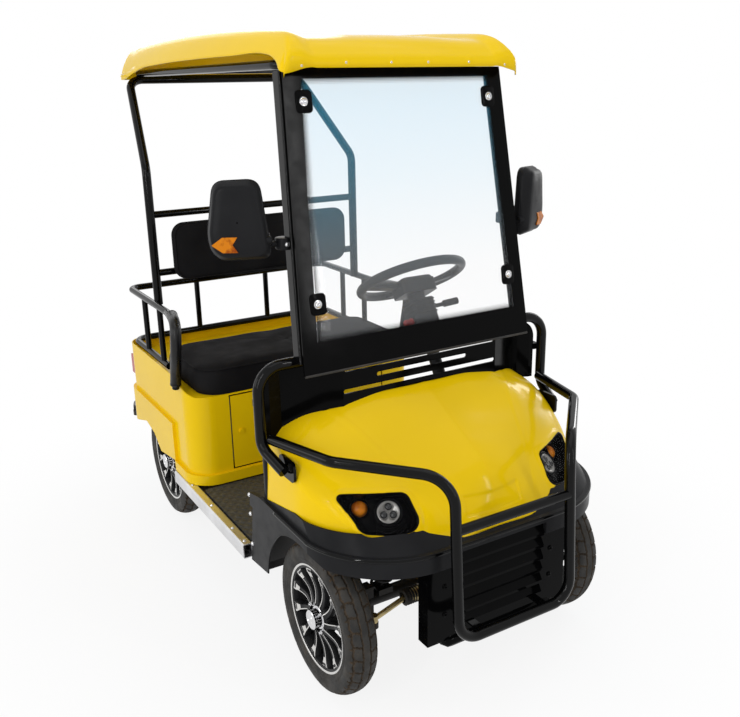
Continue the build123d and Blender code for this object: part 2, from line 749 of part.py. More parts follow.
def make_windscreen():
    """Clear pane in a black border that is printed round the same sheet."""
    border_face = screen_plane * (screen_face((0, 0, 0)) - screen_face(screen_border))
    pane_face = screen_plane * screen_face(screen_border)
    save("windscreen_border", extrude(border_face, amount=-screen_glass))
    save("windscreen_pane", extrude(pane_face, amount=-screen_glass))


def pillar_line():
    """Foot and head of the left pillar's middle line."""
    wide, deep = pillar_size
    behind = screen_glass + pillar_gap + deep / 2 + 4
    foot_z, head_z = hoop_front_z, roof_edge_z + 4
    start = (screen_half_width[0] - wide / 2 + 4, screen_y(foot_z, behind), foot_z)
    end = (screen_half_width[1] - wide / 2 + 6, screen_y(head_z, behind), head_z)
    return start, end


def pillar_bar(grow):
    """Left front pillar, grown by a clearance."""
    start, end = pillar_line()
    line = Vector(*end) - Vector(*start)
    plane = Plane(origin=start, x_dir=(1, 0, 0), z_dir=line)
    section = RectangleRounded(pillar_size[0] + 2 * grow, pillar_size[1] + 2 * grow, 6)
    return extrude(plane * section, amount=line.length)


def make_pillars():
    """Front roof pillars behind the windscreen's edges, with the pads that the glass is bolted to."""
    pillar = pillar_bar(0) - hoop_bar(0.3)
    low_x, high_x = screen_half_width
    for z in screen_bolt_z:
        share = (z - screen_foot[1]) / screen_rise
        x = low_x + (high_x - low_x) * share - 34
        pad_depth = pillar_gap + 6
        pad = Pos(x, share * screen_length, -screen_glass - 0.3 - pad_depth / 2) * Box(60, 30, pad_depth)
        pillar += screen_plane * pad
    save("pillars", pillar, mirrored(pillar))


def roof_block(inset):
    """Roof form, drawn in by an inset: a ridged section carried along a shallow arc, with a visor."""
    inner, ridge, outer = roof_ridge_x
    foot_z, side_top = roof_edge_z - 30, roof_edge_z + 16
    edges = []
    for side in (-1, 1):
        at = [
            (side * x, roof_crown_y, z) for x, z in (
                (roof_half_width, foot_z), (roof_half_width, side_top), (roof_half_width - 6, side_top + 26),
                (outer, roof_top_z - 32), (ridge, roof_top_z), (inner, roof_field_z))
        ]
        edges += [Polyline(*at[:4]), ThreePointArc(*at[3:])]
    edges.append(ThreePointArc((-inner, roof_crown_y, roof_field_z), (0, roof_crown_y, roof_field_z + 9),
                               (inner, roof_crown_y, roof_field_z)))
    edges.append(Line((-roof_half_width, roof_crown_y, foot_z), (roof_half_width, roof_crown_y, foot_z)))
    section = offset(make_face(edges), amount=-inset) if inset else make_face(edges)
    crown_axis = Axis((0, roof_crown_y, roof_top_z - roof_crown_radius), (1, 0, 0))
    sweep_angle = 9
    block = revolve(section.rotate(crown_axis, -sweep_angle / 2), crown_axis, sweep_angle)
    low = roof_edge_z - (20 if inset else 0)
    front, rear, top = roof_front_y + inset, roof_rear_y - inset, roof_top_z + 20
    shoulder_y, shoulder_z = roof_shoulder
    visor = ThreePointArc((0, front, roof_edge_z + 12), (0, front + 62, roof_edge_z + 76 - inset),
                          (0, shoulder_y, shoulder_z - inset))
    side = make_face([
        Line((0, front, low), (0, front, roof_edge_z + 12)),
        visor,
        Line((0, shoulder_y, shoulder_z - inset), (0, shoulder_y, top)),
        Line((0, shoulder_y, top), (0, rear - 12, top)),
        Line((0, rear - 12, top), (0, rear, roof_edge_z + 44)),
        Line((0, rear, roof_edge_z + 44), (0, rear, low)), Line((0, rear, low), (0, front, low)),
    ])
    return block & extrude(side, amount=roof_half_width + 20, both=True)


def make_roof():
    """Moulded roof, open underneath, on a tube frame between the pillars and the rear hoop."""
    rise = 28
    skirt_arch = [
        (roof_front_y + 40, roof_edge_z - 1), (roof_front_y + 115, roof_edge_z + rise - 6),
        (roof_front_y + 250, roof_edge_z + rise), (roof_rear_y - 220, roof_edge_z + rise),
        (roof_rear_y - 90, roof_edge_z + rise - 6), (roof_rear_y - 30, roof_edge_z - 1),
    ]
    roof = roof_block(0) - roof_block(roof_sheet) - side_profile(skirt_arch, (-600, 600))
    save("roof_panel", roof)
    rail_x_pos = roof_ridge_x[0] + 68
    head_z = roof_edge_z + 22
    front_y = screen_y(roof_edge_z, 60)
    rear_y = hoop_top[1] - 20
    frame = pipe([
        (-rail_x_pos, rear_y, head_z), (-rail_x_pos, front_y, head_z), (rail_x_pos, front_y, head_z),
        (rail_x_pos, rear_y, head_z),
    ], roof_tube, 50)
    bar_spacing = (400, 850)
    for y in (front_y + bar_spacing[0], front_y + bar_spacing[1]):
        frame += bar((-rail_x_pos, y, head_z), (rail_x_pos, y, head_z), roof_tube - 3)
    save("roof_frame", frame)


# ---------------------------------------------------------------- front body
cowl_side_x = 462
cowl_stations = [
    # d behind the axle, foot x, side x, side z, shoulder x, shoulder z, crease x, crease z, centre z
    (290, 467, 450, 728, 427, 748, 380, 786, 832),
    (123, 467, cowl_side_x, 690, 420, 738, 312, 774, 822),
    (82, 467, cowl_side_x, 668, 412, 725, 295, 764, 817),
    (10, 464, 456, 620, 392, 682, 262, 730, 776),
    (-87, 430, 414, 570, 350, 625, 230, 672, 716),
    (-170, 348, 345, 535, 282, 580, 188, 605, 655),
    (-230, 235, 235, 515, 205, 540, 148, 548, 592),
    (nose_d + 13, 140, 140, 505, 132, 512, 118, 525, 550),
]
cowl_rear_edge = [
    # x, d of the rear edge in plan, from its middle outwards
    (0, 82), (312, 123), (440, 214), (500, 262),
]


def cowl_block(inset):
    """Bonnet and wings from a few cross-sections, drawn in by an inset."""
    sections = []
    low = cowl_low_z - (20 if inset > 0 else 0)
    for d, foot_x, side_x, side_z, shoulder_x, shoulder_z, crease_x, crease_z, centre_z in cowl_stations:
        y = along_y(d + (inset if d < 0 else 0))
        half = [(foot_x - inset, low), (side_x - inset, side_z - inset),
                (shoulder_x - inset, shoulder_z - inset),
                (crease_x, crease_z - inset)]
        outline = half + [(0, centre_z - inset)] + [(-x, z) for x, z in reversed(half)]
        sections.append(make_face(Polyline(*[(x, y, z) for x, z in outline], close=True)))
    return loft(sections, ruled=True)


def lamp_block(grow, front, back):
    """Lamp form about the lamp axis, grown all round, between two depths."""
    x, d, z = lamp_centre
    turn, tilt = radians(lamp_turn), radians(lamp_tilt)
    facing = (sin(turn) * cos(tilt), -cos(turn) * cos(tilt), sin(tilt))
    plane = Plane(origin=(x, along_y(d), z), x_dir=(cos(turn), sin(turn), 0), z_dir=facing)
    outline = make_face(Polyline(*[(u, v) for u, v, _ in lamp_corners], close=True))
    for u, v, corner_radius in lamp_corners:
        corner = outline.vertices().sort_by_distance((u, v, 0))[0]
        outline = fillet(corner, corner_radius)
    if grow:
        outline = offset(outline, amount=grow)
    return extrude(plane.offset(back) * outline, amount=front - back)


def make_cowl():
    """Bonnet shell, open below and behind, with an opening for each lamp."""
    shell = cowl_block(0) - cowl_block(cowl_sheet)
    middle, *outer = cowl_rear_edge
    crease_x, crease_d = outer[0]
    side = [(x, along_y(d)) for x, d in outer] + [(outer[-1][0], along_y(400))]
    behind = make_face([
        ThreePointArc((-crease_x, along_y(crease_d)), (0, along_y(middle[1])), (crease_x, along_y(crease_d))),
        Polyline(*side), Polyline(*[(-x, y) for x, y in side]), Line(side[-1], (-side[-1][0], side[-1][1])),
    ])
    shell -= Pos(Z=cowl_low_z - 50) * extrude(behind, amount=500)
    opening = lamp_block(1, 90, -lamp_depth)
    save("cowl", shell - opening - mirrored(opening))


def make_headlights():
    """Lamp housing in the cowl's opening and a clear lens on its front."""
    housing = lamp_block(0, 9, 1 - lamp_depth) - lamp_block(-8, 20, 28 - lamp_depth)
    lens = lamp_block(-9, 6, 2)
    save("headlight_housings", housing, mirrored(housing))
    save("headlight_lenses", lens, mirrored(lens))


def nose_plan(z, start_d, middle, end, grow):
    """Plan outline of the bumper skin at a height, grown outwards: straight sides and rounded corners."""
    x = fascia_half_width + grow
    rear, start = along_y(400), along_y(start_d)
    middle_x, middle_y = middle[0] + grow * 0.7, along_y(middle[1]) - grow * 0.7
    end_x, end_y = end[0], along_y(end[1]) - grow
    return make_face([
        Line((-x, rear, z), (x, rear, z)), Line((x, rear, z), (x, start, z)),
        ThreePointArc((x, start, z), (middle_x, middle_y, z), (end_x, end_y, z)),
        Line((end_x, end_y, z), (-end_x, end_y, z)),
        ThreePointArc((-end_x, end_y, z), (-middle_x, middle_y, z), (-x, start, z)),
        Line((-x, start, z), (-x, rear, z)),
    ])


def fascia_low_plan(z, grow):
    """The bumper skin's outline from its foot up to the shelf under the bonnet."""
    return nose_plan(z, -50, (412, -178), (210, nose_d), grow)


def fascia_form(grow):
    """Bumper skin form: upright to the shelf, then drawn in towards the bonnet's lower edge."""
    upright = extrude(fascia_low_plan(200, grow), amount=fascia_shelf_z - 200, dir=(0, 0, 1))
    rim = nose_plan(fascia_top_z, -10, (396, -143), (193, -213), grow)
    return upright + loft([fascia_low_plan(fascia_shelf_z, grow), rim], ruled=True)


def make_fascia():
    """Bumper skin round the nose, with a lip, wheel arches and a flap behind each front wheel."""
    inner = fascia_form(-fascia_sheet)
    lip = extrude(fascia_low_plan(448, fascia_lip), amount=fascia_shelf_z - 446, dir=(0, 0, 1)) - inner
    skin = fascia_form(0) - inner
    arch_low = 250
    arch_start = sqrt(arch_radius ** 2 - (arch_low - axle_z) ** 2)
    arch_end = -sqrt(arch_radius ** 2 - (fascia_low_z - axle_z) ** 2)
    x = fascia_half_width + 60
    points = {
        "flap_rear": (along_y(375), 237), "flap_front": (along_y(arch_start), arch_low),
        "arch_top": (front_axle_y, axle_z + arch_radius), "arch_front": (along_y(arch_end), fascia_low_z),
        "nose_low": (along_y(-340), fascia_low_z), "nose_high": (along_y(-340), fascia_top_z),
        "wing": (along_y(40), fascia_top_z), "flap_top": (along_y(330), 492),
    }
    at = {name: (-x, y, z) for name, (y, z) in points.items()}
    edges = [
        Line(at["flap_rear"], at["flap_front"]),
        ThreePointArc(at["flap_front"], at["arch_top"], at["arch_front"]),
        Line(at["arch_front"], at["nose_low"]), Line(at["nose_low"], at["nose_high"]),
        Line(at["nose_high"], at["wing"]),
        Line(at["wing"], at["flap_top"]),
        Line(at["flap_top"], at["flap_rear"]),
    ]
    profile = extrude(make_face(edges), amount=2 * x, dir=(1, 0, 0))
    mouth_x = louvre_half_width + 7
    mouth = span((-mouth_x, mouth_x), (along_y(-340), along_y(-200)), (0, grille_z[1] - 2))
    lamp = lamp_block(2, 90, -lamp_depth - 1)
    skin = ((skin + lip) & profile) - mouth - cowl_block(-cowl_play) - lamp - mirrored(lamp)
    save("fascia", skin.solids().sort_by(SortBy.VOLUME)[-1])


def make_grille():
    """Plate under the nose with a stack of tilted louvres between its skirts."""
    low, high = grille_z
    front = grille_front
    skirt_top = fascia_low_z - 2
    plate = span((-grille_half_width, grille_half_width), (front, front + 3), (low, skirt_top))
    plate += span((-170, 170), (front, front + 3), (skirt_top - 1, cowl_low_z - 2))
    window = (low + 36, high - 6)
    foot_half_width = louvre_half_width - 22
    mouth = [(-foot_half_width, window[0]), (foot_half_width, window[0]), (louvre_half_width, window[1]),
             (-louvre_half_width, window[1])]
    mouth_face = make_face(Polyline(*[(x, front - 20, z) for x, z in mouth], close=True))
    plate -= extrude(mouth_face, amount=60, dir=(0, 1, 0))
    pitch = (window[1] - window[0]) / louvre_count
    for step in range(louvre_count):
        z = window[0] + pitch * step
        slat = [
            (front - 12, z + 2), (front - 12, z + 10), (front + 3, z + pitch - 4), (front + 3, z + pitch - 12),
        ]
        plate += side_profile(slat, (-louvre_half_width - 2, louvre_half_width + 2))
    for x in (-grille_half_width, grille_half_width - 3):
        plate += span((x, x + 3), (front, front + 44), (low, skirt_top))
    save("grille", plate)


def make_dash_shield():
    """Black shield between the hoop and the cowl, with three rows of slots."""
    d = shield_d
    low, high = shield_z
    x = hoop_front_x - hoop_tube - 7
    shield = span((-x, x), (along_y(d), along_y(d + shield_sheet)), (low, high))
    shield = fillet(shield.edges().filter_by(Axis.Y).sort_by(Axis.Z)[-2:], 60) - cowl_block(-2)
    rows = [
        # half length, height above the cart's ground
        (270, 842), (160, 875), (266, 907),
    ]
    for half, z in rows:
        slot_plane = Plane(origin=(0, along_y(d - 10), z), x_dir=(1, 0, 0), z_dir=(0, 1, 0))
        shield -= extrude(slot_plane * SlotOverall(2 * half, 13), amount=40)
    tab = span((x - 8, hoop_front_x), (along_y(d), along_y(hoop_front_d)), (820, 840))
    shield = shield + tab + mirrored(tab)
    save("dash_shield", shield - hoop_bar(0))


# ---------------------------------------------------------------- small parts
def mirror_part(centre):
    """Rounded mirror head on an arm from the left pillar."""
    x, y, z = centre
    head = Pos(x, y, z) * Rot(Z=mirror_turn) * Box(*mirror_size)
    head = fillet(head.edges(), 16)
    pillar_y = screen_y(mirror_arm_z, screen_glass + pillar_gap + pillar_size[1] / 2 + 4)
    pillar_x = screen_half_width[1] + 24
    clamp = Pos(pillar_x, pillar_y + 8, mirror_arm_z) * Box(*mirror_clamp)
    arm_start = (pillar_x + mirror_clamp[0] / 2 - 14, pillar_y, mirror_arm_z)
    arm_bend = (arm_start[0] + 48, pillar_y + 20, mirror_arm_z)
    arm = pipe([arm_start, arm_bend, (x - 40, y + 8, z - 40)], mirror_arm_radius, 12)
    return head + arm + clamp - pillar_bar(0.3)


def make_mirrors():
    """Door mirrors, each set to its own height."""
    save("mirrors", mirror_part(mirror_left), mirrored(mirror_part(mirror_right)))


def make_tail_lamps():
    """Upright lamp on each rear corner."""
    lamp = tail_lamp(0)
    save("tail_lamps", lamp, mirrored(lamp))


os.makedirs("parts", exist_ok=True)
make_wheels()
make_front_axle()
make_knuckles()
make_rack()
make_steering()
make_struts()
make_rear_axle()
make_frame()
make_floor()
make_pedals()
make_rear_body()
make_battery()
make_seat()
make_seat_rail()
make_roof_hoop()
make_front_hoop()
make_nudge_bar()
make_rear_bumper()
make_windscreen()
make_pillars()
make_roof()
make_cowl()
make_headlights()
make_fascia()
make_grille()
make_dash_shield()
make_mirrors()
make_tail_lamps()
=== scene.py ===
import bpy
import bmesh
from math import cos, exp, pi, radians, sin
from mathutils import Matrix, Vector, noise
from mathutils.bvhtree import BVHTree


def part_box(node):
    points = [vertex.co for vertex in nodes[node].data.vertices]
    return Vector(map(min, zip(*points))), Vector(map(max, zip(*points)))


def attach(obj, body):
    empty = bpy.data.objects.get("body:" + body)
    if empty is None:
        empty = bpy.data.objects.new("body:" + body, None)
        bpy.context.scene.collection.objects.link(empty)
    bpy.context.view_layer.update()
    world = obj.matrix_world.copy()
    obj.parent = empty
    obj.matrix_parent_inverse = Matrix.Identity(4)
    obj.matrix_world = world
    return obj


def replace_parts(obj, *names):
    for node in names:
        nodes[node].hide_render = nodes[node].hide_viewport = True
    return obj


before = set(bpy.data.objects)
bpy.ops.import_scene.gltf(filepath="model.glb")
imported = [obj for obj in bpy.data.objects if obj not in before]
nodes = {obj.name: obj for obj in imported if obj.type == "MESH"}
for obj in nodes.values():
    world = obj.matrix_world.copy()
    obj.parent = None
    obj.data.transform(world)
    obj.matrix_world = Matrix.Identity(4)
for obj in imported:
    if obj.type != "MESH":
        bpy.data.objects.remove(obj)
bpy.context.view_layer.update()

# Metres. +Z is up, the cart faces -Y, and +X is its left side.
FRONT_AXLE, REAR_AXLE = -0.712, 0.572
WHEEL_X = 0.403
TYRE_RADIUS, TYRE_HALF = 0.225, 0.045
WHEELS = [
    # corner, side, axle y
    ("front_left", 1, FRONT_AXLE), ("front_right", -1, FRONT_AXLE),
    ("rear_left", 1, REAR_AXLE), ("rear_right", -1, REAR_AXLE),
]
OUTWARDS, FORWARDS, UPWARDS = Vector((1, 0, 0)), Vector((0, -1, 0)), Vector((0, 0, 1))


# ---------------------------------------------------------------- materials
def shader_of(mat):
    return mat.node_tree.nodes["Principled BSDF"]


def material(name, color, roughness, metallic=0.0, **inputs):
    """A Principled material with plain starting values; inputs are named as its sockets are."""
    mat = bpy.data.materials.new(name)
    mat.use_nodes = True
    shader = shader_of(mat)
    shader.inputs["Base Color"].default_value = (*color, 1)
    for socket, value in {"Roughness": roughness, "Metallic": metallic, **inputs}.items():
        shader.inputs[socket.replace("_", " ")].default_value = value
    return mat


def add(mat, kind, **values):
    """A new node in the material, with its settings or input values."""
    node = mat.node_tree.nodes.new(kind)
    for key, value in values.items():
        if hasattr(node, key):
            setattr(node, key, value)
        else:
            node.inputs[key.replace("_", " ")].default_value = value
    return node


def link(mat, source, output, target, socket):
    mat.node_tree.links.new(source.outputs[output], target.inputs[socket])


def in_object_space(mat, texture, **mapping_values):
    """The texture, placed in object space through a Mapping node."""
    mapping = add(mat, "ShaderNodeMapping", **mapping_values)
    link(mat, add(mat, "ShaderNodeTexCoord"), "Object", mapping, "Vector")
    link(mat, mapping, "Vector", texture, "Vector")
    return texture


def noise_node(mat, scale, detail=4, rough=0.5, stretch=(1, 1, 1)):
    """Noise in object space, stretched along the axes."""
    texture = add(mat, "ShaderNodeTexNoise", Scale=scale, Detail=detail, Roughness=rough)
    return in_object_space(mat, texture, Scale=stretch)


def map_range(mat, source, output, **limits):
    node = add(mat, "ShaderNodeMapRange", **limits)
    link(mat, source, output, node, "Value")
    return node


def bump(mat, source, output, strength, distance):
    """Bump from a height, chained after any bump that the material already has."""
    node = add(mat, "ShaderNodeBump", Strength=strength, Distance=distance)
    link(mat, source, output, node, "Height")
    normal = shader_of(mat).inputs["Normal"]
    if normal.is_linked:
        mat.node_tree.links.new(normal.links[0].from_socket, node.inputs["Normal"])
    link(mat, node, "Normal", shader_of(mat), "Normal")


def colour_by(mat, source, output, stops):
    """Base colour from a height, through a ramp of (position, colour) stops."""
    node = add(mat, "ShaderNodeValToRGB")
    elements = node.color_ramp.elements
    while len(elements) < len(stops):
        elements.new(0.5)
    for element, (position, color) in zip(elements, stops):
        element.position = position
        element.color = (*color, 1)
    link(mat, source, output, node, "Fac")
    link(mat, node, "Color", shader_of(mat), "Base Color")


def finish(name, color, roughness, metallic=0.0, tone=None, rough=None, relief=None, **inputs):
    """A material whose colour, roughness and relief vary with noises. Each starts with its noise's settings;
    then come tone's colour stops, rough's lowest and highest value, and relief's strength and distance."""
    mat = material(name, color, roughness, metallic, **inputs)
    if tone:
        colour_by(mat, noise_node(mat, *tone[0]), "Fac", tone[1:])
    if rough:
        spread = map_range(mat, noise_node(mat, *rough[0]), "Fac", From_Min=0.35, From_Max=0.65,
                           To_Min=rough[1], To_Max=rough[2])
        link(mat, spread, "Result", shader_of(mat), "Roughness")
    if relief:
        bump(mat, noise_node(mat, *relief[0]), "Fac", *relief[1:])
    return mat


def gloss(name, base, rough, specular):
    """Dark moulding or lacquer, a little uneven in its gloss."""
    return finish(name, (base, base, base * 1.05), rough, Specular_IOR_Level=specular,
                  rough=((30, 4), rough * 0.8, rough * 1.4), relief=((420, 2), 0.05, 0.0003))


# Moulded yellow panels and satin dark grey mouldings.
yellow = finish("yellow_gloss", (0.92, 0.60, 0.003), 0.18, Specular_IOR_Level=0.05,
                Coat_Weight=0.13, Coat_Roughness=0.02,
                tone=((3, 3), (0.3, (0.90, 0.585, 0.002)), (0.7, (0.94, 0.62, 0.004))),
                rough=((40, 3), 0.16, 0.24), relief=((260, 2), 0.05, 0.0003))
satin_grey = finish("moulded_grey", (0.015, 0.015, 0.016), 0.3, Specular_IOR_Level=0.06,
                    tone=((9, 4), (0.3, (0.013, 0.013, 0.014)), (0.75, (0.018, 0.018, 0.019))),
                    rough=((22, 4), 0.28, 0.4), relief=((1400, 2), 0.2, 0.0002))

# Gloss black mouldings, lacquered tubes, rubber grips and the rims' dark grey.
gloss_black = gloss("gloss_black", 0.002, 0.09, 0.05)
tube_black = gloss("tube_black", 0.002, 0.08, 0.16)
grip_black = gloss("grip_black", 0.007, 0.3, 0.3)
rim_grey = gloss("rim_grey", 0.010, 0.3, 0.12)

# Tyre rubber, and the rubber in the tread's grooves, browned with dried dust.
tyre_rubber = finish("tyre_rubber", (0.02, 0.02, 0.02), 0.62, Specular_IOR_Level=0.28,
                     tone=((16, 6, 0.65), (0.38, (0.024, 0.0235, 0.0225)), (0.6, (0.040, 0.036, 0.031)),
                           (0.85, (0.085, 0.065, 0.045))),
                     rough=((30, 4), 0.6, 0.85), relief=((500, 3), 0.3, 0.0005))
groove_dust = finish("groove_dust", (0.06, 0.045, 0.032), 0.9, Specular_IOR_Level=0.1,
                     tone=((45, 5, 0.6), (0.3, (0.022, 0.018, 0.014)), (0.7, (0.085, 0.062, 0.042))),
                     relief=((600, 3), 0.4, 0.0006))

# Bright metals: turned spokes, chromed nuts and caps, brushed sills, and zinc on the tie rods.
machined = finish("machined_alloy", (0.66, 0.65, 0.63), 0.24, 1.0,
                  rough=((18, 3, 0.5, (1, 12, 12)), 0.2, 0.34), relief=((900, 2), 0.1, 0.0002))
chrome = finish("bright_chrome", (0.7, 0.7, 0.71), 0.08, 1.0, rough=((40, 3), 0.05, 0.14))
aluminium = finish("satin_aluminium", (0.7, 0.7, 0.71), 0.36, 1.0,
                   tone=((8, 4), (0.3, (0.6, 0.6, 0.61)), (0.7, (0.78, 0.78, 0.79))),
                   relief=((60, 4, 0.5, (14, 0.3, 14)), 0.2, 0.0004))
zinc = finish("yellow_zinc", (0.42, 0.33, 0.15), 0.35, 1.0,
              tone=((30, 4), (0.3, (0.25, 0.2, 0.1)), (0.7, (0.5, 0.4, 0.2))))

# The painted chassis, and rust-flecked axle iron.
chassis_black = finish("chassis_black", (0.007, 0.007, 0.0075), 0.45, Specular_IOR_Level=0.22,
                       tone=((12, 5), (0.3, (0.005, 0.005, 0.0055)), (0.75, (0.014, 0.012, 0.011))),
                       relief=((300, 3), 0.2, 0.0005))
axle_iron = finish("axle_iron", (0.02, 0.019, 0.018), 0.55, 0.4, Specular_IOR_Level=0.25,
                   tone=((25, 5, 0.6), (0.3, (0.009, 0.009, 0.009)), (0.6, (0.02, 0.018, 0.016)),
                         (0.85, (0.07, 0.048, 0.028))),
                   relief=((180, 4), 0.35, 0.001))

# Lamps: the clear cover, whose gloss shows more than its body, red and amber lenses, cups and projectors.
lens = finish("lamp_lens", (0.08, 0.08, 0.09), 0.03, Alpha=0.03, relief=((30, 2), 0.05, 0.0005))
red = finish("red_lens", (0.42, 0.006, 0.006), 0.12, Specular_IOR_Level=0.3,
             relief=((120, 1, 0.5, (1, 1, 6)), 0.3, 0.001))
amber = finish("amber_lens", (0.66, 0.19, 0.006), 0.14, Specular_IOR_Level=0.12,
               tone=((46, 3), (0.36, (0.30, 0.055, 0.002)), (0.56, (0.68, 0.21, 0.007))),
               relief=((160, 2), 0.3, 0.001))
lamp_silver = finish("lamp_silver", (0.21, 0.205, 0.195), 0.34, 1.0, relief=((700, 2), 0.2, 0.0003))
projector = finish("projector_lens", (0.008, 0.009, 0.01), 0.05, rough=((200, 2), 0.03, 0.1))


def make_vinyl():
    """Seat vinyl: a fine grain on soft waves."""
    mat = finish("black_vinyl", (0.012, 0.011, 0.012), 0.5, Specular_IOR_Level=0.03,
                 tone=((6, 4), (0.3, (0.009, 0.0085, 0.009)), (0.7, (0.015, 0.0145, 0.015))),
                 rough=((14, 4), 0.66, 0.8))
    bump(mat, in_object_space(mat, add(mat, "ShaderNodeTexVoronoi", Scale=620)), "Distance", 0.3, 0.0004)
    bump(mat, noise_node(mat, 90, 4), "Fac", 0.15, 0.001)
    return mat


def make_floor_mat():
    """Rubber mat with a quilted diamond relief."""
    mat = finish("quilted_mat", (0.05, 0.05, 0.048), 0.45, Specular_IOR_Level=0.3)
    both = add(mat, "ShaderNodeMath", operation="MULTIPLY")
    for socket, angle in enumerate((45, -45)):
        wave = add(mat, "ShaderNodeTexWave", Scale=11, wave_profile="SIN")
        link(mat, in_object_space(mat, wave, Rotation=(0, 0, radians(angle))), "Fac", both, socket)
    bump(mat, both, "Value", 0.8, 0.004)
    bump(mat, noise_node(mat, 700, 3), "Fac", 0.2, 0.0004)
    return mat


def make_glass():
    """Clear sheet: a sky-blue sun band at its head that fades to a faint grey veil at its foot."""
    mat = material("clear_sheet", (0.5, 0.75, 0.9), 0.02)
    place = add(mat, "ShaderNodeSeparateXYZ")
    link(mat, add(mat, "ShaderNodeTexCoord"), "Object", place, "Vector")
    share = map_range(mat, place, "Z", From_Min=1.0, From_Max=1.68)
    colour_by(mat, share, "Result",
              [(0.2, (0.9, 0.92, 0.94)), (0.62, (0.3, 0.74, 0.98)), (1.0, (0.03, 0.62, 1.0))])
    veil = map_range(mat, share, "Result", To_Min=0.055, To_Max=0.15)
    link(mat, veil, "Result", shader_of(mat), "Alpha")
    return mat


vinyl = make_vinyl()
mat_rubber = make_floor_mat()
glass = make_glass()

finished_nodes = [
    (yellow, "cowl rear_body battery_door roof_panel"),
    (satin_grey, "fascia mirrors steering_wheel steering_column control_stalk"),
    (gloss_black, "grille dash_shield windscreen_border headlight_housings"),
    (vinyl, "seat_cushion backrest_pad"),
    (tube_black, "front_hoop nudge_bar pillars rear_bumper roof_frame roof_hoop seat_rail"),
    (chassis_black, "chassis_frame floor_pan suspension_struts battery_pack"),
    (axle_iron, "front_axle rear_axle steering_rack knuckle_left knuckle_right"),
    (mat_rubber, "pedals floor_mat"), (zinc, "tie_rods"), (aluminium, "sills"),
    (glass, "windscreen_pane"), (lens, "headlight_lenses"), (red, "tail_lamps"),
]
finished_nodes += [(tyre_rubber, f"tyre_{wheel[0]}") for wheel in WHEELS]
finished_nodes += [(gloss_black, f"rim_{wheel[0]}") for wheel in WHEELS]
for node_material, names in finished_nodes:
    for node_name in names.split():
        nodes[node_name].data.materials.clear()
        nodes[node_name].data.materials.append(node_material)


# ---------------------------------------------------------------- mesh helpers
def piece(name, verts, faces, mats, body="cart", smooth=True, slots=None):
    """A mesh piece that rides on a body. slots gives each face its material's number."""
    mesh = bpy.data.meshes.new(name)
    mesh.from_pydata([tuple(v) for v in verts], [], faces)
    for mat in mats if isinstance(mats, list) else [mats]:
        mesh.materials.append(mat)
    for index, polygon in enumerate(mesh.polygons):
        polygon.use_smooth = smooth
        if slots:
            polygon.material_index = slots[index]
    obj = bpy.data.objects.new(name, mesh)
    bpy.context.scene.collection.objects.link(obj)
    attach(obj, body)
    return obj


def grid_faces(rows, columns, wrap_rows=False, wrap_columns=False):
    """Quads of a grid of rows x columns points, closed along either way if asked."""
    faces = []
    for i in range(rows if wrap_rows else rows - 1):
        for j in range(columns if wrap_columns else columns - 1):
            a, b = i * columns + j, i * columns + (j + 1) % columns
            c = ((i + 1) % rows) * columns
            faces.append((a, b, c + (j + 1) % columns, c + j))
    return faces


def merge(parts):
    """One (verts, faces) pair from several."""
    verts, faces = [], []
    for part_verts, part_faces in parts:
        start = len(verts)
        verts += list(part_verts)
        faces += [tuple(start + index for index in face) for face in part_faces]
    return verts, faces


def ringed(rings, outline, place):
    """Surface from (scale, depth) rings of a closed flat outline; place(u, v, depth) puts each point."""
    verts = [place(p.x * scale, p.y * scale, depth) for scale, depth in rings for p in outline]
    return verts, grid_faces(len(rings), len(outline), wrap_columns=True)


def axis_frame(direction):
    """Two unit vectors square to a direction, and the direction itself."""
    w = Vector(direction).normalized()
    u = w.cross(UPWARDS if abs(w.z) < 0.9 else OUTWARDS).normalized()
    return u, w.cross(u), w


def lathe(place, direction, profile, segments=32):
    """Surface turned about a direction through a place, from (distance along it, radius) pairs."""
    u, v, w = axis_frame(direction)
    place = Vector(place)
    verts = []
    for along, radius in profile:
        for step in range(segments):
            angle = 2 * pi * step / segments
            verts.append(place + w * along + (u * cos(angle) + v * sin(angle)) * radius)
    return verts, grid_faces(len(profile), segments, wrap_columns=True)


def bend(before, corner, after, reach, steps):
    """Points of a smooth bend that starts and ends a reach away from its corner."""
    start = corner + (before - corner).normalized() * reach
    end = corner + (after - corner).normalized() * reach
    shares = [step / steps for step in range(steps + 1)]
    return [start * (1 - t) ** 2 + corner * 2 * t * (1 - t) + end * t * t for t in shares]


def rounded_profile(corners, radius, steps=4):
    """Open profile through the corners with each inner corner rounded."""
    corners = [Vector(corner) for corner in corners]
    points = [corners[0]]
    for before, corner, after in zip(corners, corners[1:], corners[2:]):
        reach = min(radius, (before - corner).length / 2.01, (after - corner).length / 2.01)
        points += bend(before, corner, after, reach, steps)
    return points + [corners[-1]]


def bent_line(corners, radius, steps=10):
    """Points along straight runs with their corners rounded to a radius."""
    corners = [Vector(corner) for corner in corners]
    points = [corners[0]]
    for before, corner, after in zip(corners, corners[1:], corners[2:]):
        arm_in, arm_out = before - corner, after - corner
        half_angle = arm_in.angle(arm_out) / 2
        reach = radius / sin(half_angle) * cos(half_angle)
        points += bend(before, corner, after, min(reach, arm_in.length * 0.49, arm_out.length * 0.49), steps)
    return points + [corners[-1]]


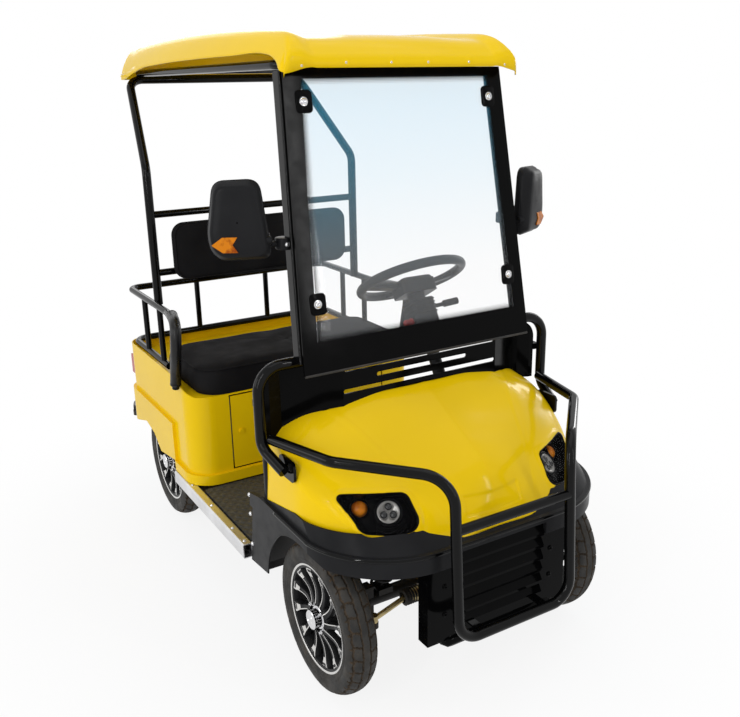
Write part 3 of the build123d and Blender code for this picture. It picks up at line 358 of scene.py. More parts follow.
def plan_outline(half_x, front, rear, corner_front, corner_rear, steps=12, straight=14):
    """Closed plan outline with rounded corners and points along its straight runs."""
    corners = [
        (Vector((half_x - corner_front, front + corner_front)), corner_front, -90),
        (Vector((half_x - corner_rear, rear - corner_rear)), corner_rear, 0),
        (Vector((-half_x + corner_rear, rear - corner_rear)), corner_rear, 90),
        (Vector((-half_x + corner_front, front + corner_front)), corner_front, 180),
    ]
    arcs = []
    for middle, radius, start in corners:
        angles = [radians(start + 90 * step / steps) for step in range(steps + 1)]
        arcs.append([middle + Vector((cos(angle), sin(angle))) * radius for angle in angles])
    points = []
    for arc, following in zip(arcs, arcs[1:] + arcs[:1]):
        points += arc + [arc[-1].lerp(following[0], step / straight) for step in range(1, straight)]
    return points


def evenly(points, count):
    """So many evenly spaced points along a line of points, from its first to its last."""
    lengths = [0.0]
    for a, b in zip(points, points[1:]):
        lengths.append(lengths[-1] + (b - a).length)
    even, i = [], 0
    for number in range(count):
        wanted = lengths[-1] * number / (count - 1)
        while i < len(lengths) - 2 and lengths[i + 1] < wanted:
            i += 1
        span = lengths[i + 1] - lengths[i]
        even.append(points[i].lerp(points[i + 1], (wanted - lengths[i]) / span if span else 0))
    return even


def tube(points, radius, segments=16, closed=False):
    """Round tube through the points, whose frame is carried along it."""
    points = [Vector(p) for p in points]
    count = len(points)
    verts, normal = [], None
    for i, point in enumerate(points):
        ahead = points[(i + 1) % count] if closed or i < count - 1 else point
        behind = points[i - 1] if closed or i > 0 else point
        tangent = (ahead - behind).normalized()
        if normal is None:
            normal = axis_frame(tangent)[0]
        normal = (normal - tangent * normal.dot(tangent)).normalized()
        side = tangent.cross(normal)
        for step in range(segments):
            angle = 2 * pi * step / segments
            verts.append(point + (normal * cos(angle) + side * sin(angle)) * radius)
    faces = grid_faces(count, segments, wrap_rows=closed, wrap_columns=True)
    if not closed:
        faces += [tuple(reversed(range(segments))), tuple(range((count - 1) * segments, count * segments))]
    return verts, faces


def smooth_step(value, low, high):
    t = min(max((value - low) / (high - low), 0), 1)
    return t * t * (3 - 2 * t)


def band(value, rise_start, rise_end, fall_start, fall_end):
    """1 between two soft edges, and 0 outside them."""
    return smooth_step(value, rise_start, rise_end) * (1 - smooth_step(value, fall_start, fall_end))


def hermite(a, b, tangent_a, tangent_b, t):
    return (a * (2 * t ** 3 - 3 * t ** 2 + 1) + tangent_a * (t ** 3 - 2 * t ** 2 + t)
            + b * (3 * t ** 2 - 2 * t ** 3) + tangent_b * (t ** 3 - t ** 2))


def mirror_x(points):
    return [Vector((-p[0], p[1], p[2])) for p in points]


def flipped(faces):
    return [tuple(reversed(face)) for face in faces]


def mirrored(part):
    return mirror_x(part[0]), flipped(part[1])


def both_sides(part):
    """A (verts, faces) pair and its mirror image, merged."""
    return merge([part, mirrored(part)])


# ---------------------------------------------------------------- fixings
def turned_stack(place, direction, length, radius, rows):
    """Turned pieces on one axis: each row has a profile in shares of the length and radius, and its segments."""
    profiles = [([(along * length, wide * radius) for along, wide in row[0]], row[1]) for row in rows]
    return merge([lathe(place, direction, profile, segments) for profile, segments in profiles])


def dome_bolt(place, direction, radius):
    """Button-head bolt with a flange, a domed head and a hexagonal socket."""
    flange = [(-0.3, 1.25), (0.12, 1.25), (0.16, 1.2), (0.16, 1)]
    head = [(0.1, 1), (0.35, 0.97), (0.6, 0.8), (0.72, 0.55), (0.74, 0.45)]
    socket = [(0.74, 0.45), (0.3, 0.42), (0.28, 0.001 / radius)]
    return turned_stack(place, direction, radius, radius, [(flange, 24), (head, 24), (socket, 6)])


def hex_nut(place, direction, radius, height):
    """Hexagon nut on a washer, with the end of its bolt."""
    washer = [(-0.1, 1.45), (0.12, 1.45), (0.14, 1)]
    nut = [(0.1, 1), (0.85, 1), (1, 0.86), (1, 0.55)]
    stem = [(0.8, 0.52), (1.3, 0.5), (1.38, 0.4), (1.38, 0.001 / radius)]
    return turned_stack(place, direction, height, radius, [(washer, 24), (nut, 6), (stem, 16)])


# ---------------------------------------------------------------- tyres and rims
TREAD_BLOCKS = 34
TREAD_CUT, NOTCH_CUT = 0.0052, 0.0016
SPOKES, NUTS = 12, 4
BLACK, BRIGHT, CHROMED = 0, 1, 2


def groove(distance, half_width):
    """1 in the middle of a groove and 0 beyond its edges, with sloped walls."""
    return 1 - smooth_step(abs(distance), half_width * 0.5, half_width)


def tread_depth(x, angle):
    """How far the tread is cut in at a place: a wavy middle rib between two rows of scalloped blocks."""
    across = abs(x) / TYRE_HALF
    if across > 0.93:
        return 0.0
    pitch = 2 * pi / TREAD_BLOCKS
    block = pitch * TYRE_RADIUS
    turn = angle / pitch + (0.5 if x > 0 else 0.0)
    lean = 0.55 * across + 0.16 * sin(pi * across * 2.0)
    phase = (turn + lean) % 1
    rib_edge = 0.0105 + 0.0022 * abs(sin(pi * (turn + 0.55 * 0.25)))
    shoulder_edge = 0.0335 + 0.0035 * abs(sin(pi * (turn + lean)))
    sipe = ((turn + lean + 0.5) % 1 - 0.5) * block
    return TREAD_CUT * max(
        groove(abs(x) - rib_edge, 0.0022),
        groove(min(phase, 1 - phase) * block, 0.0026) * band(across, 0.24, 0.30, 0.86, 0.93),
        0.8 * groove(abs(x) - shoulder_edge, 0.0020),
        0.4 * groove(sipe, 0.0014) * band(across, 0.36, 0.42, 0.56, 0.62))


def tyre_part(side):
    """Tyre about the X axis at the origin: cut tread, shoulder notches, stepped sidewalls and beads."""
    tread_half, tread_steps, segments = 0.040, 44, 560
    tread = []
    for step in range(tread_steps + 1):
        x = tread_half * (2 * step / tread_steps - 1)
        tread.append((x, TYRE_RADIUS - 0.0142 * abs(x / tread_half) ** 2.4))
    wall = [(0.0428, 0.2045), (0.0446, 0.197), (0.045, 0.189), (0.0446, 0.181), (0.043, 0.1775),
            (0.0438, 0.1765), (0.0425, 0.17), (0.0405, 0.165), (0.0413, 0.164), (0.0395, 0.1605),
            (0.037, 0.1575), (0.034, 0.1545)]
    profile = [(-x, r) for x, r in reversed(wall)] + tread + wall
    verts, cuts = [], []
    for x, radius in profile:
        for step in range(segments):
            angle = 2 * pi * step / segments
            depth = tread_depth(x, angle) if radius > 0.2085 else 0.0
            cuts.append(depth)
            if 0.197 < radius < 0.2075:
                phase = (angle * TREAD_BLOCKS / (2 * pi) + 0.2) % 1
                depth = NOTCH_CUT * groove((phase - 0.5) * 0.03, 0.003)
            r = radius - depth
            verts.append(Vector((side * x, r * sin(angle), r * cos(angle))))
    faces = grid_faces(len(profile), segments, wrap_columns=True)
    slots = [1 if max(cuts[index] for index in face) > 0.0022 else 0 for face in faces]
    return verts, faces if side > 0 else flipped(faces), slots


def spoke_part(turn):
    """One curved spoke: (verts, black faces, machined faces), machined on its leading edge and outer end."""
    inner, outer, steps = 0.044, 0.150, 14
    section = [(-1.25, -0.018), (-1.1, -0.004), (-0.85, -0.0008), (0.42, -0.0008), (0.48, 0.0), (0.85, 0.0),
               (1.1, -0.004), (1.25, -0.018)]
    verts = []
    for step in range(steps + 1):
        t = step / steps
        radius = inner + (outer - inner) * t
        half = 0.0062 + 0.0050 * t ** 2 + 0.004 * (1 - t) ** 3 + 0.0065 * smooth_step(t, 0.72, 0.94)
        bow = radians(16) * sin(pi * t * 0.55) + turn
        lift = 0.0335 - 0.0085 * sin(pi * min(t * 1.15, 1)) + 0.001 * t
        for across, drop in section:
            angle = bow + across * half / radius
            verts.append(Vector((lift + drop, radius * sin(angle), radius * cos(angle))))
    black, bright = [], []
    for index, face in enumerate(grid_faces(steps + 1, len(section))):
        row, column = divmod(index, len(section) - 1)
        machined_face = column == 4 or (column in (2, 3) and row >= steps - 4 and row != steps - 2)
        (bright if machined_face else black).append(face)
    return verts, black, bright


def rim_parts(side):
    """Rim about the X axis at the origin: (verts, faces, the number of each face's material)."""
    half, bore, edge = 0.038, 0.1485, 0.0318
    turned = [
        # profile, segments, material
        ([(-half, 0.16), (-half, 0.152), (-0.033, 0.1495), (-0.018, 0.14), (0.014, 0.139),
          (0.026, bore - 0.006), (edge, bore - 0.004)], 96, BLACK),
        ([(edge, bore - 0.004), (0.0345, bore - 0.003), (0.0352, bore + 0.003), (0.0366, bore + 0.004)],
         96, BLACK),
        ([(0.0366, bore + 0.004), (0.0376, bore + 0.005), (half, 0.156), (half, 0.1592), (0.0365, 0.1596),
          (0.034, 0.1575)], 96, BRIGHT),
        ([(0.004, 0.058), (0.024, 0.056), (0.029, 0.053), (0.03, 0.05), (0.0275, 0.048), (0.027, 0.031)],
         48, BLACK),
        ([(0.0265, 0.0335), (0.029, 0.034), (0.0305, 0.0325), (0.0305, 0.0285), (0.045, 0.027),
          (0.0465, 0.0282), (0.0525, 0.0282), (0.0538, 0.0268), (0.0538, 0.0225), (0.0522, 0.0212),
          (0.0522, 0.009), (0.0535, 0.0075), (0.0535, 0.0001)], 48, CHROMED),
    ]
    parts = [(lathe((0, 0, 0), OUTWARDS, profile, segments), slot) for profile, segments, slot in turned]
    for spoke in range(SPOKES):
        verts, black, bright = spoke_part(2 * pi * spoke / SPOKES)
        parts += [((verts, black), BLACK), ((verts, bright), BRIGHT)]
    for nut in range(NUTS):
        angle = pi / 4 + nut * 2 * pi / NUTS
        place = (0.0275, 0.0425 * sin(angle), 0.0425 * cos(angle))
        parts.append((hex_nut(place, OUTWARDS, 0.0066, 0.011), CHROMED))
    verts, faces = merge([part for part, slot in parts])
    slots = [slot for (part_verts, part_faces), slot in parts for face in part_faces]
    return [Vector((side * v.x, v.y, v.z)) for v in verts], faces if side > 0 else flipped(faces), slots


def make_wheels():
    for corner, side, axle_y in WHEELS:
        centre = Vector((side * WHEEL_X, axle_y, TYRE_RADIUS))
        verts, faces, slots = tyre_part(side)
        tyre = piece(f"treaded_tyre_{corner}", [centre + v for v in verts], faces,
                     [tyre_rubber, groove_dust], f"wheel_{corner}", slots=slots)
        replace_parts(tyre, f"tyre_{corner}")
        verts, faces, slots = rim_parts(side)
        rim = piece(f"alloy_rim_{corner}", [centre + v for v in verts], faces,
                    [rim_grey, machined, chrome], f"wheel_{corner}", slots=slots)
        rim.modifiers.new("edges", "EDGE_SPLIT").split_angle = radians(38)
        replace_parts(rim, f"rim_{corner}")


# ---------------------------------------------------------------- bonnet
COWL_STATIONS = [
    # y, foot x, side x, side z, shoulder x, shoulder z, crease x, crease z, centre z
    (-0.422, 0.467, 0.450, 0.728, 0.427, 0.748, 0.380, 0.800, 0.850),
    (-0.589, 0.467, 0.462, 0.690, 0.419, 0.734, 0.314, 0.783, 0.822),
    (-0.630, 0.467, 0.462, 0.668, 0.411, 0.720, 0.296, 0.765, 0.805),
    (-0.702, 0.464, 0.456, 0.620, 0.391, 0.678, 0.263, 0.730, 0.772),
    (-0.799, 0.430, 0.414, 0.570, 0.350, 0.625, 0.222, 0.676, 0.725),
    (-0.860, 0.373, 0.368, 0.545, 0.302, 0.592, 0.194, 0.634, 0.693),
    (-0.905, 0.308, 0.305, 0.528, 0.254, 0.561, 0.170, 0.597, 0.660),
    (-0.935, 0.248, 0.246, 0.519, 0.213, 0.538, 0.154, 0.564, 0.622),
    (-0.957, 0.192, 0.190, 0.511, 0.172, 0.519, 0.138, 0.533, 0.574),
    (-0.970, 0.150, 0.148, 0.507, 0.139, 0.510, 0.119, 0.516, 0.530),
    (-0.975, 0.130, 0.129, 0.504, 0.123, 0.505, 0.112, 0.507, 0.512),
]
COWL_FOOT_Z = 0.502
CREASE_ACROSS, SHOULDER_ACROSS, SIDE_ACROSS = 0.45, 0.66, 0.82
PLATE_HALF, PLATE_LOW, PLATE_HIGH, PLATE_SUNK = 0.096, 0.553, 0.606, 0.0025
BONNET_HALF_COLUMNS, BONNET_ROWS = 104, 130


def station_slopes():
    """Slope of every station value over y, weighted so that uneven steps leave no wave."""
    steps = [(there[0] - here[0], [(b - a) / (there[0] - here[0]) for a, b in zip(here, there)])
             for here, there in zip(COWL_STATIONS, COWL_STATIONS[1:])]
    slopes = [steps[0][1]]
    for (span_a, slope_a), (span_b, slope_b) in zip(steps, steps[1:]):
        slopes.append([(a * span_b + b * span_a) / (span_a + span_b) for a, b in zip(slope_a, slope_b)])
    return slopes + [steps[-1][1]]


COWL_SLOPES = station_slopes()


def cowl_row(y):
    """Values of the bonnet's section at y, on a smooth curve through the stations."""
    i = max(i for i in range(len(COWL_STATIONS) - 1) if y <= COWL_STATIONS[i][0] or i == 0)
    here, there = COWL_STATIONS[i], COWL_STATIONS[i + 1]
    span = there[0] - here[0]
    t = (y - here[0]) / span
    return [hermite(here[k], there[k], COWL_SLOPES[i][k] * span, COWL_SLOPES[i + 1][k] * span, t)
            for k in range(1, len(here))]


def section_point(across, y):
    """(x, z) on the bonnet's plain section, from centre over crease, shoulder and side down to the foot."""
    row = cowl_row(y)
    foot, centre = Vector((row[0], COWL_FOOT_Z)), Vector((0, row[7]))
    side, shoulder, crease = Vector(row[1:3]), Vector(row[3:5]), Vector(row[5:7])
    if across < CREASE_ACROSS:
        chord = crease - centre
        return hermite(centre, crease, Vector((chord.x, chord.y * 0.45)), Vector((chord.x, chord.y * 1.3)),
                       across / CREASE_ACROSS)
    if across < SHOULDER_ACROSS:
        chord = shoulder - crease
        return hermite(crease, shoulder, Vector((chord.x, chord.y * 0.35)), (side - crease) * 0.62,
                       (across - CREASE_ACROSS) / (SHOULDER_ACROSS - CREASE_ACROSS))
    if across < SIDE_ACROSS:
        return hermite(shoulder, side, (side - crease) * 0.5, Vector((0.0, (side - shoulder).y * 1.2)),
                       (across - SHOULDER_ACROSS) / (SIDE_ACROSS - SHOULDER_ACROSS))
    return side.lerp(foot, (across - SIDE_ACROSS) / (1 - SIDE_ACROSS))


def cowl_point(across, y):
    """Place on the bonnet at y; across runs from 0 on the middle to 1 at the foot."""
    x, z = section_point(across, y)
    sunk = band(z, PLATE_LOW, PLATE_LOW + 0.004, PLATE_HIGH - 0.004, PLATE_HIGH)
    sunk *= (1 - smooth_step(x, PLATE_HALF - 0.004, PLATE_HALF)) * (1 - smooth_step(y, -0.925, -0.905))
    rib = exp(-((across - 0.446) / 0.011) ** 2) * smooth_step(z, 0.60, 0.68)
    swell = (0.006 + 0.011 * smooth_step(x, 0.0, 0.18)) * (1 - smooth_step(x, 0.25, 0.345))
    swell *= smooth_step(y, -0.745, -0.615)
    return Vector((x, y + PLATE_SUNK * sunk, z - PLATE_SUNK * sunk + 0.0022 * rib + swell))


def cowl_rear_y(x):
    """Rear edge of the bonnet in plan: a shallow arch, swept back beyond its ends."""
    arch_end, arch_y, arch_rise, sweep = 0.312, FRONT_AXLE + 0.101, 0.022, 0.711
    if x < arch_end:
        return arch_y + arch_rise * (x / arch_end) ** 2
    return arch_y + arch_rise + (x - arch_end) * sweep


def cowl_column(across, steps=220):
    """Evenly spaced points down the bonnet at one place across, from its rear edge to its nose."""
    rear, nose = COWL_STATIONS[0][0], COWL_STATIONS[-1][0]
    dense = [cowl_point(across, nose + (rear - nose) * (1 - step / steps) ** 2) for step in range(steps + 1)]
    over = [p.y - cowl_rear_y(p.x) for p in dense]
    first = next(i for i, value in enumerate(over) if value <= 0)
    if first:
        share = over[first - 1] / (over[first - 1] - over[first])
        first -= 1
        dense[first] = dense[first].lerp(dense[first + 1], share)
    return evenly(dense[first:], BONNET_ROWS)


LAMP_CENTRE = Vector((0.305, -0.856, 0.582))
LAMP_TURN, LAMP_TILT = radians(29.7), radians(38)
LAMP_CORNERS = [
    # u, v, radius
    (0.129, 0.052, 0.012), (-0.070, 0.054, 0.028), (-0.114, -0.046, 0.034), (-0.030, -0.064, 0.030),
    (0.052, -0.056, 0.040),
]
LAMP_MIDDLE = Vector((-0.006, -0.003))
LAMP_FACING = Vector((sin(LAMP_TURN) * cos(LAMP_TILT), -cos(LAMP_TURN) * cos(LAMP_TILT), sin(LAMP_TILT)))
LAMP_ACROSS = Vector((cos(LAMP_TURN), sin(LAMP_TURN), 0))
LAMP_UP = LAMP_FACING.cross(LAMP_ACROSS)
LAMP_STEPS = 10


def lamp_place(u, v, w):
    return LAMP_CENTRE + LAMP_ACROSS * u + LAMP_UP * v + LAMP_FACING * w


def lamp_outline(scale=1.0, steps=LAMP_STEPS):
    """Closed teardrop outline in the lamp's plane, scaled about its middle."""
    points = []
    places = [Vector((u, v)) for u, v, radius in LAMP_CORNERS]
    for i, corner in enumerate(places):
        radius = LAMP_CORNERS[i][2]
        arm_in = (places[i - 1] - corner).normalized()
        arm_out = (places[(i + 1) % len(places)] - corner).normalized()
        half_angle = arm_in.angle(arm_out) / 2
        reach = radius / sin(half_angle) * cos(half_angle)
        middle = corner + (arm_in + arm_out).normalized() * (radius / sin(half_angle))
        for step in range(steps + 1):
            chord = (corner + arm_in * reach).lerp(corner + arm_out * reach, step / steps)
            points.append(middle + (chord - middle).normalized() * radius)
    return [LAMP_MIDDLE + (p - LAMP_MIDDLE) * scale for p in points]


def inside(point, outline):
    """True if a flat point lies in the closed outline."""
    hit = False
    for a, b in zip(outline, outline[1:] + outline[:1]):
        if (a.y > point.y) != (b.y > point.y) and point.x < (b.x - a.x) * (point.y - a.y) / (b.y - a.y) + a.x:
            hit = not hit
    return hit


def lamp_flat(place):
    """A place in the lamp's plane and its height over it; both sides of the cart fold onto the left lamp."""
    away = Vector((abs(place.x), place.y, place.z)) - LAMP_CENTRE
    return Vector((away.dot(LAMP_ACROSS), away.dot(LAMP_UP))), away.dot(LAMP_FACING)


def nearest_on(outline, point):
    """Nearest place on a closed flat outline."""
    best = None
    for a, b in zip(outline, outline[1:] + outline[:1]):
        arm = b - a
        share = min(max((point - a).dot(arm) / arm.length_squared, 0), 1) if arm.length_squared else 0
        place = a + arm * share
        if best is None or (place - point).length < (best - point).length:
            best = place
    return best


LAMP_HOLE = lamp_outline(0.97, 5)
LAMP_REACH, LAMP_NEAR = 0.15, 0.07


def by_lamp(flat, height):
    return abs(height) < LAMP_NEAR and flat.length < LAMP_REACH


def rolled_lip(vert):
    """Raises the skin in a soft lip round the lamp's opening."""
    flat, height = lamp_flat(vert)
    if not by_lamp(flat, height):
        return vert
    gap = 0 if inside(flat, LAMP_HOLE) else (nearest_on(LAMP_HOLE, flat) - flat).length
    lift = 0.0035 * (1 - smooth_step(gap, 0.006, 0.018))
    return vert + Vector((LAMP_FACING.x * (1 if vert.x > 0 else -1), LAMP_FACING.y, LAMP_FACING.z)) * lift


def bonnet_surface():
    columns = [cowl_column(step / BONNET_HALF_COLUMNS) for step in range(BONNET_HALF_COLUMNS + 1)]
    columns = [mirror_x(column) for column in reversed(columns[1:])] + columns
    verts = [rolled_lip(column[row]) for row in range(BONNET_ROWS) for column in columns]
    return verts, grid_faces(BONNET_ROWS, len(columns))


def make_bonnet(verts, faces):
    """Smooth bonnet shell with an opening for each lamp, and the rubber seal along its rear edge."""
    kept, holed = [], set()
    for face in faces:
        flat, height = lamp_flat(sum((verts[index] for index in face), Vector()) / 4)
        if by_lamp(flat, height) and inside(flat, LAMP_HOLE):
            holed.update(face)
        else:
            kept.append(face)
    rear_edge = verts[:2 * BONNET_HALF_COLUMNS + 1]
    verts = list(verts)
    for index in {index for face in kept for index in face} & holed:
        flat, height = lamp_flat(verts[index])
        edge = nearest_on(LAMP_HOLE, flat)
        moved = lamp_place(edge.x, edge.y, height)
        verts[index] = Vector((moved.x if verts[index].x > 0 else -moved.x, moved.y, moved.z))
    bonnet = piece("bonnet_skin", verts, kept, yellow)
    shell = bonnet.modifiers.new("sheet", "SOLIDIFY")
    shell.thickness, shell.offset = 0.0035, -1
    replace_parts(bonnet, "cowl")
    crown = [0.010 * max(0.0, 1 - (p.x / 0.30) ** 2) - 0.001 for p in rear_edge]
    level = [0.0] * len(rear_edge)
    strip = []
    for back, drop, rises in ((0.002, 0.03, level), (0.004, 0, level), (0.006, 0, crown), (0.01, 0, crown)):
        strip += [p + Vector((0, back, rise - drop)) for p, rise in zip(rear_edge, rises)]
    piece("bonnet_rear_seal", strip, grid_faces(4, len(rear_edge)), tyre_rubber)


# ---------------------------------------------------------------- dash shield
SHIELD_FOLDS = [
    # distance from the middle, how far the shield is folded back there
    (0.272, 0.0), (0.430, 0.080), (0.470, 0.066), (0.530, 0.060),
]
SHIELD_CUTS = [fold[0] for fold in SHIELD_FOLDS] + [0.31, 0.35, 0.39]


def make_dash_shield(skin):
    """Dash shield with ends folded back behind the bonnet's corners and its foot tucked under the bonnet."""
    mesh = bpy.data.meshes.new("folded_dash_shield")
    work = bmesh.new()
    work.from_mesh(nodes["dash_shield"].data)
    for x in SHIELD_CUTS + [-x for x in SHIELD_CUTS]:
        everything = work.verts[:] + work.edges[:] + work.faces[:]
        bmesh.ops.bisect_plane(work, geom=everything, plane_co=(x, 0, 0), plane_no=(1, 0, 0))
    foot_z = min(vert.co.z for vert in work.verts)
    above, foot_band, tuck, hang = 1.2, 0.004, 0.012, 0.035
    for vert in work.verts:
        x = abs(vert.co.x)
        for (near, near_back), (far, far_back) in zip(SHIELD_FOLDS, SHIELD_FOLDS[1:]):
            if near < x <= far:
                vert.co.y += near_back + (far_back - near_back) * (x - near) / (far - near)
        hit = skin.ray_cast(Vector((vert.co.x, vert.co.y, above)), -UPWARDS)[0]
        if vert.co.z < foot_z + foot_band and x > SHIELD_FOLDS[0][0]:
            vert.co.z = hit.z - tuck if hit else foot_z - hang
    work.to_mesh(mesh)
    work.free()
    mesh.materials.clear()
    mesh.materials.append(gloss_black)
    shield = bpy.data.objects.new("folded_dash_shield", mesh)
    bpy.context.scene.collection.objects.link(shield)
    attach(shield, "cart")
    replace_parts(shield, "dash_shield")


# ---------------------------------------------------------------- roof
ROOF_FRONT, ROOF_REAR, ROOF_HALF = -0.545, 0.917, 0.388
ROOF_CORNER, ROOF_WALL, ROOF_FOOT_Z = 0.026, 0.004, 1.700
ROOF_COLUMNS = 70
ROOF_SECTION = [
    # across, height at the crown's highest place
    (0.0, 1.8195), (0.13, 1.8175), (0.235, 1.812), (0.272, 1.812), (0.3, 1.8225), (0.322, 1.8265),
    (0.34, 1.817), (0.355, 1.795), (0.368, 1.77), (0.379, 1.745), (0.3855, 1.725), (0.388, 1.705),
    (0.3885, 1.66),
]
ROOF_VISOR = [
    # along, height in the middle
    (-0.545, 1.724), (-0.541, 1.734), (-0.526, 1.752), (-0.5, 1.774), (-0.465, 1.793), (-0.425, 1.808),
    (-0.385, 1.82), (-0.33, 1.836), (-0.25, 1.86), (0.917, 2.2),
]
ROOF_EDGE = [
    # along, height of the side skirt's lower edge
    (-0.545, 1.7), (-0.53, 1.702), (-0.49, 1.727), (-0.44, 1.744), (-0.39, 1.751), (-0.2, 1.752),
    (0.5, 1.745), (0.65, 1.739), (0.76, 1.72), (0.85, 1.7015), (0.917, 1.7),
]


def smooth_curve(points):
    """Smooth function through points whose steps may be uneven."""
    slopes = []
    pairs = [(b[0] - a[0], (b[1] - a[1]) / (b[0] - a[0])) for a, b in zip(points, points[1:])]
    for (span_a, slope_a), (span_b, slope_b) in zip(pairs, pairs[1:]):
        same_way = slope_a * slope_b > 0
        slopes.append((slope_a * span_b + slope_b * span_a) / (span_a + span_b) if same_way else 0.0)
    slopes = [pairs[0][1]] + slopes + [pairs[-1][1]]

    def value(at):
        i = max([0] + [k for k in range(len(points) - 1) if points[k][0] <= at])
        span = pairs[i][0]
        t = min(1.0, max(0.0, (at - points[i][0]) / span))
        return hermite(points[i][1], points[i + 1][1], slopes[i] * span, slopes[i + 1] * span, t)
    return value


def soft_min(a, b, reach):
    share = min(1.0, max(0.0, 0.5 + 0.5 * (b - a) / reach))
    return b + (a - b) * share - reach * share * (1 - share)


def roof_row(y, section, visor, edge):
    """Places of one roof row, from the left skirt's lower edge over the crown to the right one's."""
    crown_y, crown_flatness, tail_z, tail_slope, steps = 0.275, 23, 1.744, 7, 240
    outermost, lowest = ROOF_SECTION[-1]
    crown = (y - crown_y) ** 2 / crown_flatness
    tail = tail_z + (ROOF_REAR - y) * tail_slope
    dense = []
    for step in range(steps + 1):
        x = outermost * step / steps
        ridge = 0.013 * smooth_step(x, 0.285, 0.330) * (1 - smooth_step(y, -0.42, -0.34))
        height = soft_min(section(x) - crown, visor(y) + ridge, 0.018)
        dense.append(Vector((x, soft_min(height, tail, 0.02))))
    dense.append(Vector((outermost, lowest)))
    low = edge(y)
    kept = [dense[0]]
    for a, b in zip(dense, dense[1:]):
        if b.y < low:
            share = (a.y - low) / (a.y - b.y) if a.y > low else 0.0
            kept.append(Vector((a.x + (b.x - a.x) * share, low)))
            break
        kept.append(b)
    half = evenly(kept, ROOF_COLUMNS + 1)
    return [Vector((-p.x, y, p.y)) for p in reversed(half)] + [Vector((p.x, y, p.y)) for p in half[1:]]


def round_corner(place, radius):
    """Place moved so that the plan's corner is rounded."""
    for end, way in ((ROOF_FRONT, -1), (ROOF_REAR, 1)):
        dx = (abs(place.x) - (ROOF_HALF - radius)) / radius
        dy = ((place.y - end) * way + radius) / radius
        if dx > 0 and dy > 0:
            scale = max(dx, dy) / (dx * dx + dy * dy) ** 0.5
            place.x = (ROOF_HALF - radius + dx * scale * radius) * (1 if place.x > 0 else -1)
            place.y = end + way * (dy * scale - 1) * radius
    return place


def make_roof_skin():
    """Moulded roof: rounded visor, rolled ridges that run down to its front corners, and arched skirts."""
    curves = [smooth_curve(points) for points in (ROOF_SECTION, ROOF_VISOR, ROOF_EDGE)]
    visor, tail, ease = 0.200, 0.057, 1.6
    plain = ROOF_REAR - ROOF_FRONT - visor - tail
    stations = [ROOF_FRONT + visor * (step / 34) ** ease for step in range(35)]
    stations += [ROOF_FRONT + visor + plain * step / 26 for step in range(1, 27)]
    stations += [ROOF_REAR - tail * (1 - step / 14) ** ease for step in range(1, 15)]
    rows = [roof_row(y, *curves) for y in stations]
    lip_front = []
    for p in rows[0]:
        brow = 1.7255 - 0.0155 * smooth_step(abs(p.x), 0.30, ROOF_HALF)
        lip_front.append(Vector((p.x, p.y, min(p.z, brow) - 0.014)))
    lip_rear = [Vector((p.x, p.y, ROOF_FOOT_Z)) for p in rows[-1]]
    rows = [lip_front] + rows + [lip_rear]
    verts = [round_corner(place, ROOF_CORNER) for row in rows for place in row]
    roof = piece("moulded_roof", verts, grid_faces(len(rows), 2 * ROOF_COLUMNS + 1), yellow)
    wall = roof.modifiers.new("wall", "SOLIDIFY")
    wall.thickness, wall.offset, wall.use_even_offset = ROOF_WALL, -1, False
    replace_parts(roof, "roof_panel")


# ---------------------------------------------------------------- headlights
LAMP_MAIN, LAMP_AMBER = Vector((-0.020, 0.005)), Vector((0.058, 0.019))


def rim_heights(skin):
    """Height of the bonnet over the lamp's plane at each point of the lamp's outline."""
    heights = []
    for p in lamp_outline():
        hit = skin.ray_cast(lamp_place(p.x, p.y, 0.12), -LAMP_FACING)[0]
        heights.append((hit - lamp_place(p.x, p.y, 0)).dot(LAMP_FACING) if hit else 0.0)
    return heights


def lamp_ring(heights, rings):
    """Ring surface along the lamp's outline, from (scale, depth, share of the bonnet's height) rows."""
    verts = []
    for scale, depth, share in rings:
        outline = lamp_outline(scale)
        verts += [lamp_place(p.x, p.y, depth + share * height) for p, height in zip(outline, heights)]
    return verts, grid_faces(len(rings), len(heights), wrap_columns=True)


def lamp_dome(middle, profile, segments=40):
    """Turned piece in the lamp, from (depth, radius) pairs."""
    return lathe(lamp_place(middle.x, middle.y, 0), LAMP_FACING, profile, segments)


def lamp_rib(number, steps=20):
    """One of the curved steps beside the reflector, each deeper and further out than the last."""
    radius, depth = 0.043 + 0.0062 * number, -0.018 - 0.002 * number
    start, end = 196 + 6 * number, 318 - 5 * number
    points = []
    for step in range(steps + 1):
        angle = radians(start + (end - start) * step / steps)
        points.append(lamp_place(LAMP_MAIN.x + radius * cos(angle), LAMP_MAIN.y + radius * sin(angle), depth))
    return tube(points, 0.0024, 10)


